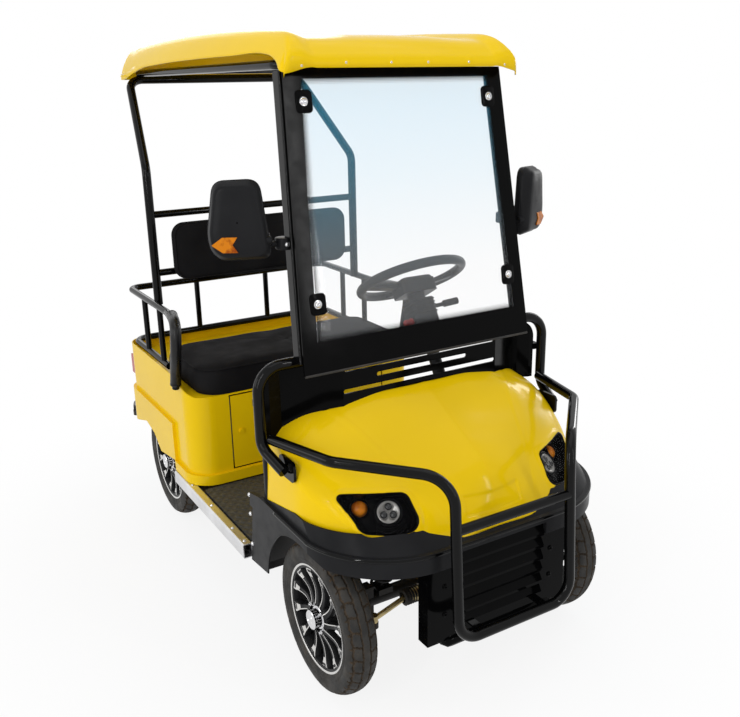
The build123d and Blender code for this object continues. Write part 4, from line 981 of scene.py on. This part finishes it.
def make_headlights(skin):
    """Bezel, cups, amber bulb, reflector with three projectors, ribbed steps and the clear cover."""
    heights = rim_heights(skin)
    bezel = lamp_ring(heights, [
        (0.985, -0.010, 1), (1.008, -0.001, 1), (1.010, 0.0020, 1), (0.995, 0.0055, 1), (0.965, 0.0065, 1),
        (0.94, 0.0045, 1), (0.925, 0.000, 1), (0.915, -0.008, 0.9), (0.86, -0.024, 0.5), (0.60, -0.036, 0),
        (0.02, -0.037, 0)])
    cover = lamp_ring(heights, [
        (0.945, 0.002, 1), (0.93, 0.0045, 1), (0.86, 0.0065, 0.9), (0.65, 0.009, 0.6), (0.35, 0.011, 0.4),
        (0.02, 0.0115, 0.35)])
    amber_cup = lamp_dome(LAMP_AMBER, [(-0.036, 0.03), (-0.018, 0.0285), (-0.015, 0.0275), (-0.016, 0.0262),
                                       (-0.034, 0.024), (-0.036, 0.001)])
    main_cup = lamp_dome(LAMP_MAIN, [
        (-0.036, 0.044), (-0.014, 0.0395), (-0.010, 0.0375), (-0.011, 0.0345), (-0.018, 0.033)])
    reflector = lamp_dome(LAMP_MAIN, [
        (-0.018, 0.033), (-0.011, 0.0315), (-0.009, 0.029), (-0.014, 0.023), (-0.016, 0.001)])
    bulb = lamp_dome(LAMP_AMBER, [
        (-0.034, 0.0215), (-0.024, 0.0205), (-0.018, 0.0165), (-0.014, 0.0100), (-0.0125, 0.001)])
    flutes = [lamp_dome(LAMP_AMBER, [(-0.034, 0.0225 - 0.002 * k), (-0.031 + 0.0035 * k, 0.0224 - 0.0022 * k),
                                     (-0.030 + 0.0035 * k, 0.0205 - 0.0024 * k)]) for k in range(4)]
    eye_profile = [(-0.016, 0.0102), (-0.010, 0.0098), (-0.0065, 0.007), (-0.0055, 0.001)]
    eye_ring_profile = [(-0.016, 0.0122), (-0.0095, 0.0120), (-0.0088, 0.0108), (-0.011, 0.0100)]
    angles = [radians(90 + 120 * turn) for turn in range(3)]
    eye_places = [LAMP_MAIN + Vector((cos(angle), sin(angle))) * 0.0148 for angle in angles]
    eyes = [lamp_dome(place, eye_profile, 24) for place in eye_places]
    eye_rings = [lamp_dome(place, eye_ring_profile, 24) for place in eye_places]
    table = [
        ("headlight_bezels", [bezel, amber_cup, main_cup], gloss_black, "lamp_housing"),
        ("headlight_steps", [lamp_rib(number) for number in range(5)], gloss_black, "lamp_housing"),
        ("headlight_reflectors", [reflector] + eye_rings, lamp_silver, "lamp_housing"),
        ("headlight_projectors", eyes, projector, "lamp_housing"),
        ("headlight_turn_bulbs", [bulb] + flutes, amber, "lamp_housing"),
        ("headlight_covers", [cover], lens, "lamp_lens"),
    ]
    replaced = {"headlight_covers": "headlight_lenses", "headlight_bezels": "headlight_housings"}
    for name, parts, mat, slot in table:
        obj = piece(name, *both_sides(merge(parts)), mat)
        if name in replaced:
            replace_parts(obj, replaced[name])


# ---------------------------------------------------------------- seat
def padded_piece(name, verts, rings, node):
    """Soft vinyl piece from its rings of points, which stands for a CAD node."""
    pad = piece(name, verts, grid_faces(rings, len(verts) // rings, wrap_columns=True), vinyl)
    smoother = pad.modifiers.new("soft", "SUBSURF")
    smoother.levels = smoother.render_levels = 1
    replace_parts(pad, node)


def make_cushion():
    """Stuffed bench cushion: bulged boxing, a crowned top with soft folds, and welts."""
    low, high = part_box("seat_cushion")
    half_x, front, rear = high[0], low[1], high[1]
    base, tall = low[2], high[2] - low[2]
    outline = plan_outline(half_x, front, rear, 0.085, 0.045)
    middle = Vector((0, (front + rear) / 2))
    boxing_share, sink, middle_seam = 0.8, 0.006, 0.004
    rings = [
        # scale, height share
        (0.955, 0.0), (0.985, 0.04), (0.998, 0.22), (1.0, 0.42), (0.996, 0.62), (0.982, 0.74),
        (0.972, 0.775), (0.962, 0.8), (0.945, 0.865), (0.915, 0.915), (0.86, 0.955), (0.78, 0.975),
        (0.66, 0.985), (0.5, 0.992), (0.34, 0.996), (0.18, 0.998), (0.02, 1.0),
    ]
    verts = []
    for scale, share in rings:
        for point in outline:
            flat = middle + (point - middle) * scale
            place = Vector((flat.x, flat.y, base + tall * share))
            fold = noise.noise(Vector((flat.x * 7, flat.y * 9, 2.0))) * 0.006
            fold += noise.noise(place * 26) * 0.0016
            if share > boxing_share:
                edge = smooth_step(scale, 0.02, 0.9)
                seam = middle_seam * (1 - smooth_step(abs(flat.x), 0.002, 0.02))
                place.z += fold * (1 - 0.6 * edge) - sink - seam
            else:
                place.x -= fold * 0.25 * (1 if flat.x > 0 else -1)
                place.y += abs(fold) * 0.25 * (1 if flat.y < middle.y else -1)
            verts.append(place)
    padded_piece("stuffed_cushion", verts, len(rings), "seat_cushion")
    welts = []
    for scale, share in ((0.978, 0.79), (0.965, 0.02)):
        loop = [middle + (point - middle) * scale for point in outline]
        welts.append(tube([Vector((p.x, p.y, base + tall * share)) for p in loop], 0.0032, 8, closed=True))
    piece("cushion_welts", *merge(welts), vinyl)


def make_backrest():
    """Padded back board with a crowned face, rounded corners and a welt."""
    low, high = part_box("backrest_pad")
    half_x, base, top = high[0], low[2], high[2]
    rear, deep = high[1], high[1] - low[1]
    outline = plan_outline(half_x, base, top, 0.048, 0.048, 10, 10)
    middle = Vector((0, (base + top) / 2))
    rings = [
        # scale, depth share
        (0.02, 0.0), (0.93, 0.0), (0.97, 0.02), (0.985, 0.10), (0.992, 0.30), (0.994, 0.50), (0.985, 0.66),
        (0.965, 0.76), (0.950, 0.80), (0.915, 0.88), (0.85, 0.94), (0.72, 0.975), (0.5, 0.99), (0.25, 1.0),
        (0.02, 1.0),
    ]
    verts = []
    for scale, share in rings:
        for point in outline:
            flat = middle + (point - middle) * scale
            depth = deep * share
            if share > 0.6:
                depth += noise.noise(Vector((flat.x * 9, flat.y * 12, 5.0))) * 0.0022 - 0.001
            verts.append(Vector((flat.x, rear - depth, flat.y)))
    padded_piece("padded_backrest", verts, len(rings), "backrest_pad")
    loop = [middle + (point - middle) * 0.972 for point in outline]
    welt = tube([Vector((p.x, rear - deep * 0.74, p.y)) for p in loop], 0.003, 8, closed=True)
    piece("backrest_welt", *welt, vinyl)


# ---------------------------------------------------------------- mirrors
MIRRORS = [
    # side, centre of the head
    (1, Vector((0.4912, -0.490, 1.304))),
    (-1, Vector((0.5062, -0.490, 1.331))),
]
MIRROR_TURN = radians(30)
MIRROR_CORNERS = [
    # place, reach of its bend
    ((0.078, -0.078), 0.028), ((0.084, -0.034), 0.02), ((0.062, 0.104), 0.03), ((-0.058, 0.108), 0.034),
    ((-0.084, -0.100), 0.030), ((0.050, -0.104), 0.034),
]
MIRROR_CLAMP = Vector((0.381, -0.500, 1.262))
MIRROR_KNUCKLE = Vector((0.432, -0.492, 1.262))


def mirror_outline(steps=8):
    """Head outline: upright, narrower at its top, with a fuller foot and rounded corners."""
    points = []
    places = [Vector(place) for place, reach in MIRROR_CORNERS]
    for i, corner in enumerate(places):
        before, after = places[i - 1], places[(i + 1) % len(places)]
        reach = min(MIRROR_CORNERS[i][1], (before - corner).length / 2.1, (after - corner).length / 2.1)
        points += bend(before, corner, after, reach, steps)
    return points


def pin(place, direction, half_length, radius, rounding, segments):
    """Short round pin with rounded ends, centred on a place."""
    corners = [(-half_length, 0.001), (-half_length, radius), (half_length, radius), (half_length, 0.001)]
    return lathe(place, direction, rounded_profile(corners, rounding), segments)


def make_mirrors():
    """Moulded mirror shells with a turn arrow, a glass behind, ball arms and pillar clamps."""
    across = Vector((cos(MIRROR_TURN), sin(MIRROR_TURN), 0))
    facing = Vector((sin(MIRROR_TURN), -cos(MIRROR_TURN), 0))
    outline = mirror_outline()
    shell_rings = [(0.9, -0.021), (0.985, -0.023), (1.0, -0.019), (1.0, -0.006), (0.985, 0.002),
                   (0.94, 0.008), (0.9, 0.0185), (0.86, 0.0225), (0.78, 0.0245), (0.55, 0.0262),
                   (0.02, 0.0268)]
    glass_rings = [(0.90, -0.021), (0.885, -0.017), (0.02, -0.0175)]
    arrow = [(-0.012, 0.0), (0.012, 0.017), (0.045, 0.017), (0.034, 0.0), (0.045, -0.017), (0.012, -0.017)]
    count, arrow_scale, arrow_u, arrow_v = len(arrow), 1.2, 0.056, -0.058
    arrow_faces = [tuple(range(count, 2 * count))] + [
        (i, (i + 1) % count, count + (i + 1) % count, count + i) for i in range(count)]
    groups = {"shell": [], "glass": [], "arm": [], "arrow": [], "bolt": []}
    for side, centre in MIRRORS:
        def place(u, v, depth):
            """Place in the left mirror's head: u outwards, v up, depth towards the front."""
            return centre + across * u + facing * depth + UPWARDS * v

        ball = place(-0.070, -0.052, 0.0)
        parts = [
            ("shell", ringed(shell_rings, outline, place)),
            ("shell", tube([place(p.x, p.y, -0.006) for p in outline], 0.0016, 8, closed=True)),
            ("glass", ringed(glass_rings, outline, place)),
            ("arm", tube([MIRROR_CLAMP + OUTWARDS * 0.012, MIRROR_KNUCKLE], 0.0085, 14)),
            ("arm", tube([MIRROR_KNUCKLE - UPWARDS * 0.014, MIRROR_KNUCKLE + UPWARDS * 0.030], 0.012, 18)),
            ("arm", tube([MIRROR_KNUCKLE + UPWARDS * 0.020, ball], 0.0075, 14)),
            ("arm", pin(ball, OUTWARDS, 0.014, 0.012, 0.006, 24)),
            ("arm", pin(MIRROR_CLAMP, UPWARDS, 0.016, 0.0255, 0.004, 28)),
            ("arrow", ([place(arrow_u - u * arrow_scale, v * arrow_scale + arrow_v, depth)
                        for depth in (0.018, 0.0285) for u, v in arrow], arrow_faces)),
            ("bolt", dome_bolt(MIRROR_CLAMP + Vector((0.004, -0.0255, 0)), FORWARDS, 0.0048)),
        ]
        for group, part in parts:
            groups[group].append(part if side > 0 else mirrored(part))
    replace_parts(piece("mirror_shells", *merge(groups["shell"]), satin_grey), "mirrors")
    piece("mirror_glasses", *merge(groups["glass"]), chrome)
    piece("mirror_arms", *merge(groups["arm"]), satin_grey)
    piece("mirror_turn_arrows", *merge(groups["arrow"]), amber, smooth=False)
    piece("mirror_clamp_bolts", *merge(groups["bolt"]), chrome)


# ---------------------------------------------------------------- windscreen
SCREEN_FOOT = Vector((0, FRONT_AXLE + 0.095, 0.913))
SCREEN_HEAD = Vector((0, FRONT_AXLE + 0.227, 1.711))
SCREEN_HALF_FOOT, SCREEN_HALF_HEAD = 0.395, 0.357
BORDER_SIDE, BORDER_FOOT, BORDER_HEAD = 0.050, 0.088, 0.026
SCREEN_BOLT_Z = (1.101, 1.627)
SCREEN_UP = (SCREEN_HEAD - SCREEN_FOOT).normalized()
SCREEN_OUT = Vector((0, -SCREEN_UP.z, SCREEN_UP.y))
SCREEN_LENGTH = (SCREEN_HEAD - SCREEN_FOOT).length
DOT_SPACING, DOT_ROW_STEP = 0.0062, 0.0042
DOT_RADII = (0.0026, 0.0021, 0.0016, 0.0011)


def screen_place(x, up, out):
    return SCREEN_FOOT + OUTWARDS * x + SCREEN_UP * up + SCREEN_OUT * out


def screen_half(up):
    """Half width of the sheet at a distance up it."""
    return SCREEN_HALF_FOOT + (SCREEN_HALF_HEAD - SCREEN_HALF_FOOT) * up / SCREEN_LENGTH


def make_screen_dots():
    """Dotted edge of the printed border: rows of dots that shrink into the clear pane."""
    head = SCREEN_LENGTH - BORDER_HEAD
    foot_x, side_x = screen_half(BORDER_FOOT) - BORDER_SIDE, screen_half(head) - BORDER_SIDE
    head_x = screen_half(SCREEN_LENGTH) - BORDER_SIDE
    runs = [
        # start, end, direction into the clear pane
        ((foot_x, BORDER_FOOT), (side_x, head), (-1, 0)), ((-foot_x, BORDER_FOOT), (-side_x, head), (1, 0)),
        ((-foot_x, BORDER_FOOT), (foot_x, BORDER_FOOT), (0, 1)), ((-head_x, head), (head_x, head), (0, -1)),
    ]
    octagon = [(cos(k * pi / 4), sin(k * pi / 4)) for k in range(8)]
    dots = []
    for run in runs:
        start, end, inwards = (Vector(pair) for pair in run)
        count = int((end - start).length / DOT_SPACING)
        for row, radius in enumerate(DOT_RADII):
            inset = inwards * (0.0015 + DOT_ROW_STEP * row)
            for i in range(count):
                flat = start.lerp(end, (i + 0.5 * (row % 2)) / count) + inset
                verts = [screen_place(flat.x + radius * u, flat.y + radius * v, 0.0006) for u, v in octagon]
                dots.append((verts, [tuple(range(8))]))
    piece("screen_dots", *merge(dots), gloss_black, smooth=False)


def make_screen_details():
    """Black bolt tabs, domed bolts with washers, and a rubber foot."""
    tabs, bolts = [], []
    outline = plan_outline(0.024, -0.030, 0.030, 0.012, 0.012, 6, 1)
    for z in SCREEN_BOLT_Z:
        up = (z - SCREEN_FOOT.z) / (SCREEN_HEAD.z - SCREEN_FOOT.z) * SCREEN_LENGTH
        x = screen_half(up) - 0.040
        verts, faces = ringed([(1.0, 0.0002), (1.0, 0.0022), (0.94, 0.0032)], outline,
                              lambda u, v, out: screen_place(x - 0.016 + u, up + v, out))
        faces.append(tuple(range(2 * len(outline), 3 * len(outline))))
        tabs.append((verts, faces))
        bolts.append(dome_bolt(screen_place(x - 0.014, up, 0.003), SCREEN_OUT, 0.0095))
    piece("screen_tabs", *both_sides(merge(tabs)), gloss_black)
    piece("screen_bolts", *both_sides(merge(bolts)), chrome)
    seal = tube([screen_place(-0.392, -0.001, -0.0025), screen_place(0.392, -0.001, -0.0025)], 0.0042, 10)
    piece("screen_seal", *seal, tyre_rubber)


# ---------------------------------------------------------------- fixings and small parts
def make_fascia_lip():
    """Rounded bead around the fascia's shelf, and the trims behind the bonnet's side edges."""
    fascia = nodes["fascia"].data
    skin = BVHTree.FromPolygons([vert.co for vert in fascia.vertices],
                                [face.vertices[:] for face in fascia.polygons])
    middle, steps, reach, sunk = Vector((0, -0.52, 0.499)), 160, 1.2, 0.0035
    line = []
    for step in range(steps + 1):
        angle = radians(-176 + 172 * step / steps)
        way = Vector((cos(angle), sin(angle), 0))
        hit = skin.ray_cast(middle + way * reach, -way)[0]
        if hit and hit.y < -0.50:
            line.append(hit - way * sunk)
    piece("fascia_lip", *tube(line, 0.0065, 14), tube_black)
    profile = [(-0.004, 0.0), (0.0, 0.0045), (0.012, 0.0050), (0.020, 0.0030), (0.022, -0.004)]
    heights = (0.498, 0.502, 0.56, 0.62, 0.68, 0.704, 0.708)
    verts = []
    for z in heights:
        close = 0.4 if z in (heights[0], heights[-1]) else 1.0
        verts += [Vector((0.4665 + out * close, -0.487 + along, z)) for along, out in profile]
    trim = (verts, grid_faces(len(heights), len(profile)))
    piece("bonnet_side_trims", *both_sides(trim), satin_grey)


def make_grille_lip():
    """Rolled flange along the grille plate's lower edge, and the bevels beside its louvres."""
    front, flange_half, flange_z, steps = -0.973, 0.196, 0.215, 24
    section = [
        # forward of the plate, height
        (0.002, 0.236), (-0.004, 0.232), (-0.016, 0.218), (-0.021, 0.206), (-0.018, 0.197), (-0.008, 0.194),
        (0.002, 0.198),
    ]
    verts = []
    for step in range(steps + 1):
        x = flange_half * (2 * step / steps - 1)
        close = 1 - 0.55 * smooth_step(abs(x), flange_half - 0.020, flange_half)
        verts += [Vector((x, front + y * close, flange_z + (z - flange_z) * close)) for y, z in section]
    count = len(section)
    faces = grid_faces(steps + 1, count, wrap_columns=True)
    faces += [tuple(range(count)), tuple(reversed(range(steps * count, (steps + 1) * count)))]
    bevels = [tube([(side * 0.132, front - 0.001, 0.252), (side * 0.156, front - 0.001, 0.478)], 0.006, 12)
              for side in (-1, 1)]
    piece("grille_flange", *merge([(verts, faces)] + bevels), gloss_black)


def make_fixings():
    """Black bolts of the hoop plates and guard, and bright screws of the flaps, sills and roof."""
    hoop_bolts = [(0.473, FRONT_AXLE + 0.050, 0.683), (0.473, FRONT_AXLE + 0.098, 0.655)]
    guard_bolts = [(0.186, -0.9835, z) for z in (0.300, 0.386, 0.450)]
    flap_screws = [(0.4725, -0.352, z) for z in (0.300, 0.405, 0.470)]
    sill_screws = [(0.474, y, 0.2805) for y in (-0.288, -0.19, 0.0, 0.19, 0.32)]
    roof_screws = [(x, -0.5435, 1.7225 - 0.02 * smooth_step(x, 0.28, 0.40)) for x in (0.06, 0.20, 0.33)]
    black = [dome_bolt(place, OUTWARDS, 0.0085) for place in hoop_bolts]
    black += [dome_bolt(place, FORWARDS, 0.0065) for place in guard_bolts]
    bright = [dome_bolt(place, OUTWARDS, 0.0055) for place in flap_screws]
    bright += [dome_bolt(place, UPWARDS, 0.0045) for place in sill_screws]
    bright += [dome_bolt(place, (0, -1, 0.05), 0.0036) for place in roof_screws]
    piece("black_bolts", *both_sides(merge(black)), gloss_black)
    piece("bright_bolts", *both_sides(merge(bright)), chrome)


def make_steering_details():
    """Raised pad with a ring on the steering wheel's hub, its grip, and the column's ribs and knob."""
    tilt, grip_radius = radians(30), 0.178
    centre = Vector((0.230, -0.200, 1.030))
    up = Vector((0, sin(tilt), cos(tilt)))
    back = Vector((0, cos(tilt), -sin(tilt)))

    def place(x, y, z):
        return centre + OUTWARDS * x + back * y + up * z

    rings = [(1.0, -0.016), (1.0, -0.010), (0.96, -0.005), (0.86, -0.0022), (0.5, 0.0005), (0.02, 0.0012)]
    pad = ringed(rings, plan_outline(0.062, -0.043, 0.043, 0.016, 0.016, 6, 5), place)
    ring_profile = [(0.0, 0.021), (0.0022, 0.0205), (0.0026, 0.018), (0.0012, 0.0165), (0.001, 0.001)]
    hub_ring = lathe(centre, up, ring_profile, 40)
    piece("steering_hub_pad", *merge([pad, hub_ring]), satin_grey, "steering_wheel")
    angles = [2 * pi * step / 96 for step in range(96)]
    loop = [place(grip_radius * cos(angle), grip_radius * sin(angle), 0) for angle in angles]
    piece("steering_grip", *tube(loop, 0.0158, 20, closed=True), satin_grey, "steering_wheel")
    rib_outline = plan_outline(0.0475, -0.0405, 0.0405, 0.018, 0.018, 6, 4)
    ribs = []
    for rib in range(5):
        loop = [place(p.x, p.y, -0.086 - 0.011 * rib) for p in rib_outline]
        ribs.append(tube(loop, 0.0022, 8, closed=True))
    piece("column_ribs", *merge(ribs), satin_grey)
    knob_profile = [(-0.002, 0.014), (0.006, 0.014), (0.008, 0.01), (0.022, 0.012), (0.03, 0.01),
                    (0.031, 0.001)]
    knob = lathe(place(-0.046, 0, -0.150), -OUTWARDS, rounded_profile(knob_profile, 0.003), 28)
    piece("column_switch_knob", *knob, red)


def make_grips():
    """Sleeves on the armrests' front bends, and caps on the bumper's ends."""
    sleeve_line = bent_line([(0.484, 0.2485, 0.655), (0.4825, 0.190, 0.886), (0.446, 0.34, 0.886)], 0.075)
    parts = [tube(sleeve_line, 0.0195, 20)]
    lip = [(0.0, 0.013), (-0.001, 0.0175), (0.002, 0.0205), (0.006, 0.0200), (0.008, 0.019)]
    for end, inner in ((sleeve_line[0], sleeve_line[1]), (sleeve_line[-1], sleeve_line[-2])):
        parts.append(lathe(end, inner - end, lip, 24))
    piece("armrest_sleeves", *both_sides(merge(parts)), grip_black)
    low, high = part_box("rear_bumper")
    cap = [(-0.024, 0.0152), (-0.024, 0.0175), (0.0, 0.0175), (0.0, 0.001)]
    caps = lathe((0.42, 1.0583, low[2]), -UPWARDS, rounded_profile(cap, 0.003), 28)
    piece("bumper_end_caps", *both_sides(caps), tyre_rubber)


def make_suspension_details():
    """Coil springs round the struts, and rubber bellows on the steering rack."""
    turns, steps, coil_radius, wire_radius = 8, 24, 0.030, 0.0048
    coils = []
    for x, y, foot, head in ((0.220, FRONT_AXLE, 0.262, 0.515), (0.236, REAR_AXLE, 0.264, 0.485)):
        points = []
        for step in range(turns * steps + 1):
            angle = 2 * pi * step / steps
            z = foot + (head - foot) * step / (turns * steps)
            points.append((x + coil_radius * cos(angle), y + coil_radius * sin(angle), z))
        coils.append(tube(points, wire_radius, 8))
    piece("coil_springs", *both_sides(merge(coils)), chassis_black)
    folds = [(0.004 * fold, 0.0155 + 0.009 * (fold % 2)) for fold in range(15)]
    bellows = lathe((0.152, FRONT_AXLE - 0.096, 0.262), OUTWARDS, folds, 28)
    piece("rack_bellows", *both_sides(bellows), tyre_rubber, "rack")


make_wheels()
bonnet_verts, bonnet_faces = bonnet_surface()
bonnet_tree = BVHTree.FromPolygons(bonnet_verts, bonnet_faces)
make_bonnet(bonnet_verts, bonnet_faces)
make_dash_shield(bonnet_tree)
make_roof_skin()
make_headlights(bonnet_tree)
make_cushion()
make_backrest()
make_mirrors()
make_screen_dots()
make_screen_details()
make_fascia_lip()
make_grille_lip()
make_fixings()
make_steering_details()
make_grips()
make_suspension_details()


# ---------------------------------------------------------------- camera, light and floor
CAMERA_PLACE = (-1.3672, -2.5966, 1.6678)
CAMERA_YAW, CAMERA_PITCH, CAMERA_ROLL = 0.5373, 0.3101, -0.0188
CAMERA_LENS, CAMERA_SENSOR = 41.66, 36
WHITE = (1, 1, 1, 1)


def make_camera():
    """Camera at the photograph's viewing angle."""
    level = Vector((sin(CAMERA_YAW), cos(CAMERA_YAW), 0))
    forward = level * cos(CAMERA_PITCH) - UPWARDS * sin(CAMERA_PITCH)
    right = forward.cross(UPWARDS).normalized()
    up = right.cross(forward)
    rolled_right = cos(CAMERA_ROLL) * right + sin(CAMERA_ROLL) * up
    rolled_up = -sin(CAMERA_ROLL) * right + cos(CAMERA_ROLL) * up
    data = bpy.data.cameras.new("camera")
    data.sensor_width, data.lens = CAMERA_SENSOR, CAMERA_LENS
    camera = bpy.data.objects.new("camera", data)
    rows = Matrix((rolled_right, rolled_up, -forward)).transposed().to_4x4()
    camera.matrix_world = Matrix.Translation(CAMERA_PLACE) @ rows
    bpy.context.scene.collection.objects.link(camera)
    bpy.context.scene.camera = camera


def seen_rays(tree):
    """1 for a ray that the camera, a reflection or clear glass sees by; 0 for the rest."""
    path = tree.nodes.new("ShaderNodeLightPath")
    output = path.outputs["Is Camera Ray"]
    for kind in ("Is Transmission Ray", "Is Glossy Ray"):
        either = tree.nodes.new("ShaderNodeMath")
        either.operation = "MAXIMUM"
        tree.links.new(output, either.inputs[0])
        tree.links.new(path.outputs[kind], either.inputs[1])
        output = either.outputs[0]
    return output


def mix_by(tree, factor, plain, seen, target):
    """Mixes two shaders by a factor into an output node."""
    mix = tree.nodes.new("ShaderNodeMixShader")
    for source, socket in ((factor, 0), (plain.outputs[0], 1), (seen.outputs[0], 2)):
        tree.links.new(source, mix.inputs[socket])
    tree.links.new(mix.outputs[0], tree.nodes[target].inputs["Surface"])


def make_world():
    """Cool grey light all round, which the camera and reflections see as white."""
    world = bpy.data.worlds.new("studio")
    bpy.context.scene.world = world
    world.use_nodes = True
    tree = world.node_tree
    plain, white = tree.nodes["Background"], tree.nodes.new("ShaderNodeBackground")
    for background, color, strength in ((plain, (0.93, 0.96, 1.0, 1), 0.55), (white, WHITE, 1.0)):
        background.inputs["Color"].default_value = color
        background.inputs["Strength"].default_value = strength
    mix_by(tree, seen_rays(tree), plain, white, "World Output")


def area_light(name, place, target, size, power):
    data = bpy.data.lights.new(name, "AREA")
    data.shape = "RECTANGLE"
    data.size, data.size_y = size
    data.energy = power
    lamp = bpy.data.objects.new(name, data)
    lamp.location = place
    lamp.rotation_euler = (Vector(target) - Vector(place)).to_track_quat("-Z", "Y").to_euler()
    bpy.context.scene.collection.objects.link(lamp)


def make_lights():
    """Wide soft boxes, and narrow strips whose crisp lines show on gloss."""
    area_light("softbox_top", (0.2, -0.6, 4.2), (0, 0, 0.8), (3.4, 3.4), 28)
    area_light("strip_right", (-3.4, -2.4, 2.2), (0, -0.3, 0.7), (0.16, 3.0), 44)
    area_light("strip_front", (1.6, -4.4, 2.4), (0, -0.5, 0.7), (0.16, 2.8), 20)
    area_light("softbox_side", (-4.2, 0.9, 1.9), (0, 0.3, 0.6), (2.2, 1.6), 24)
    area_light("strip_left", (4.0, 0.6, 2.4), (0, 0.0, 0.8), (0.3, 2.6), 26)
    area_light("softbox_back", (1.0, 4.5, 3.0), (0, 0.3, 0.8), (3.0, 2.0), 26)


def make_floor():
    """Pale floor: it keeps the cart's soft shadow and is plain white away from it."""
    bpy.ops.mesh.primitive_plane_add(size=60, location=(0, 0, 0))
    floor = bpy.context.object
    floor.name = "studio_floor"
    mat = material("floor_white", (0.9, 0.9, 0.9), 0.9)
    tree = mat.node_tree
    middle = add(mat, "ShaderNodeVectorMath", operation="LENGTH")
    link(mat, add(mat, "ShaderNodeTexCoord"), "Object", middle, "Vector")
    away = map_range(mat, middle, "Value", interpolation_type="SMOOTHSTEP",
                     From_Min=0.7, From_Max=1.9, To_Min=0.86, To_Max=1.0)
    share = add(mat, "ShaderNodeMath", operation="MULTIPLY")
    tree.links.new(seen_rays(tree), share.inputs[0])
    link(mat, away, "Result", share, 1)
    glow = add(mat, "ShaderNodeEmission", Color=WHITE, Strength=1.0)
    mix_by(tree, share.outputs[0], shader_of(mat), glow, "Material Output")
    floor.data.materials.append(mat)


make_camera()
make_world()
make_lights()
make_floor()
bpy.context.scene.view_settings.view_transform = "Standard"
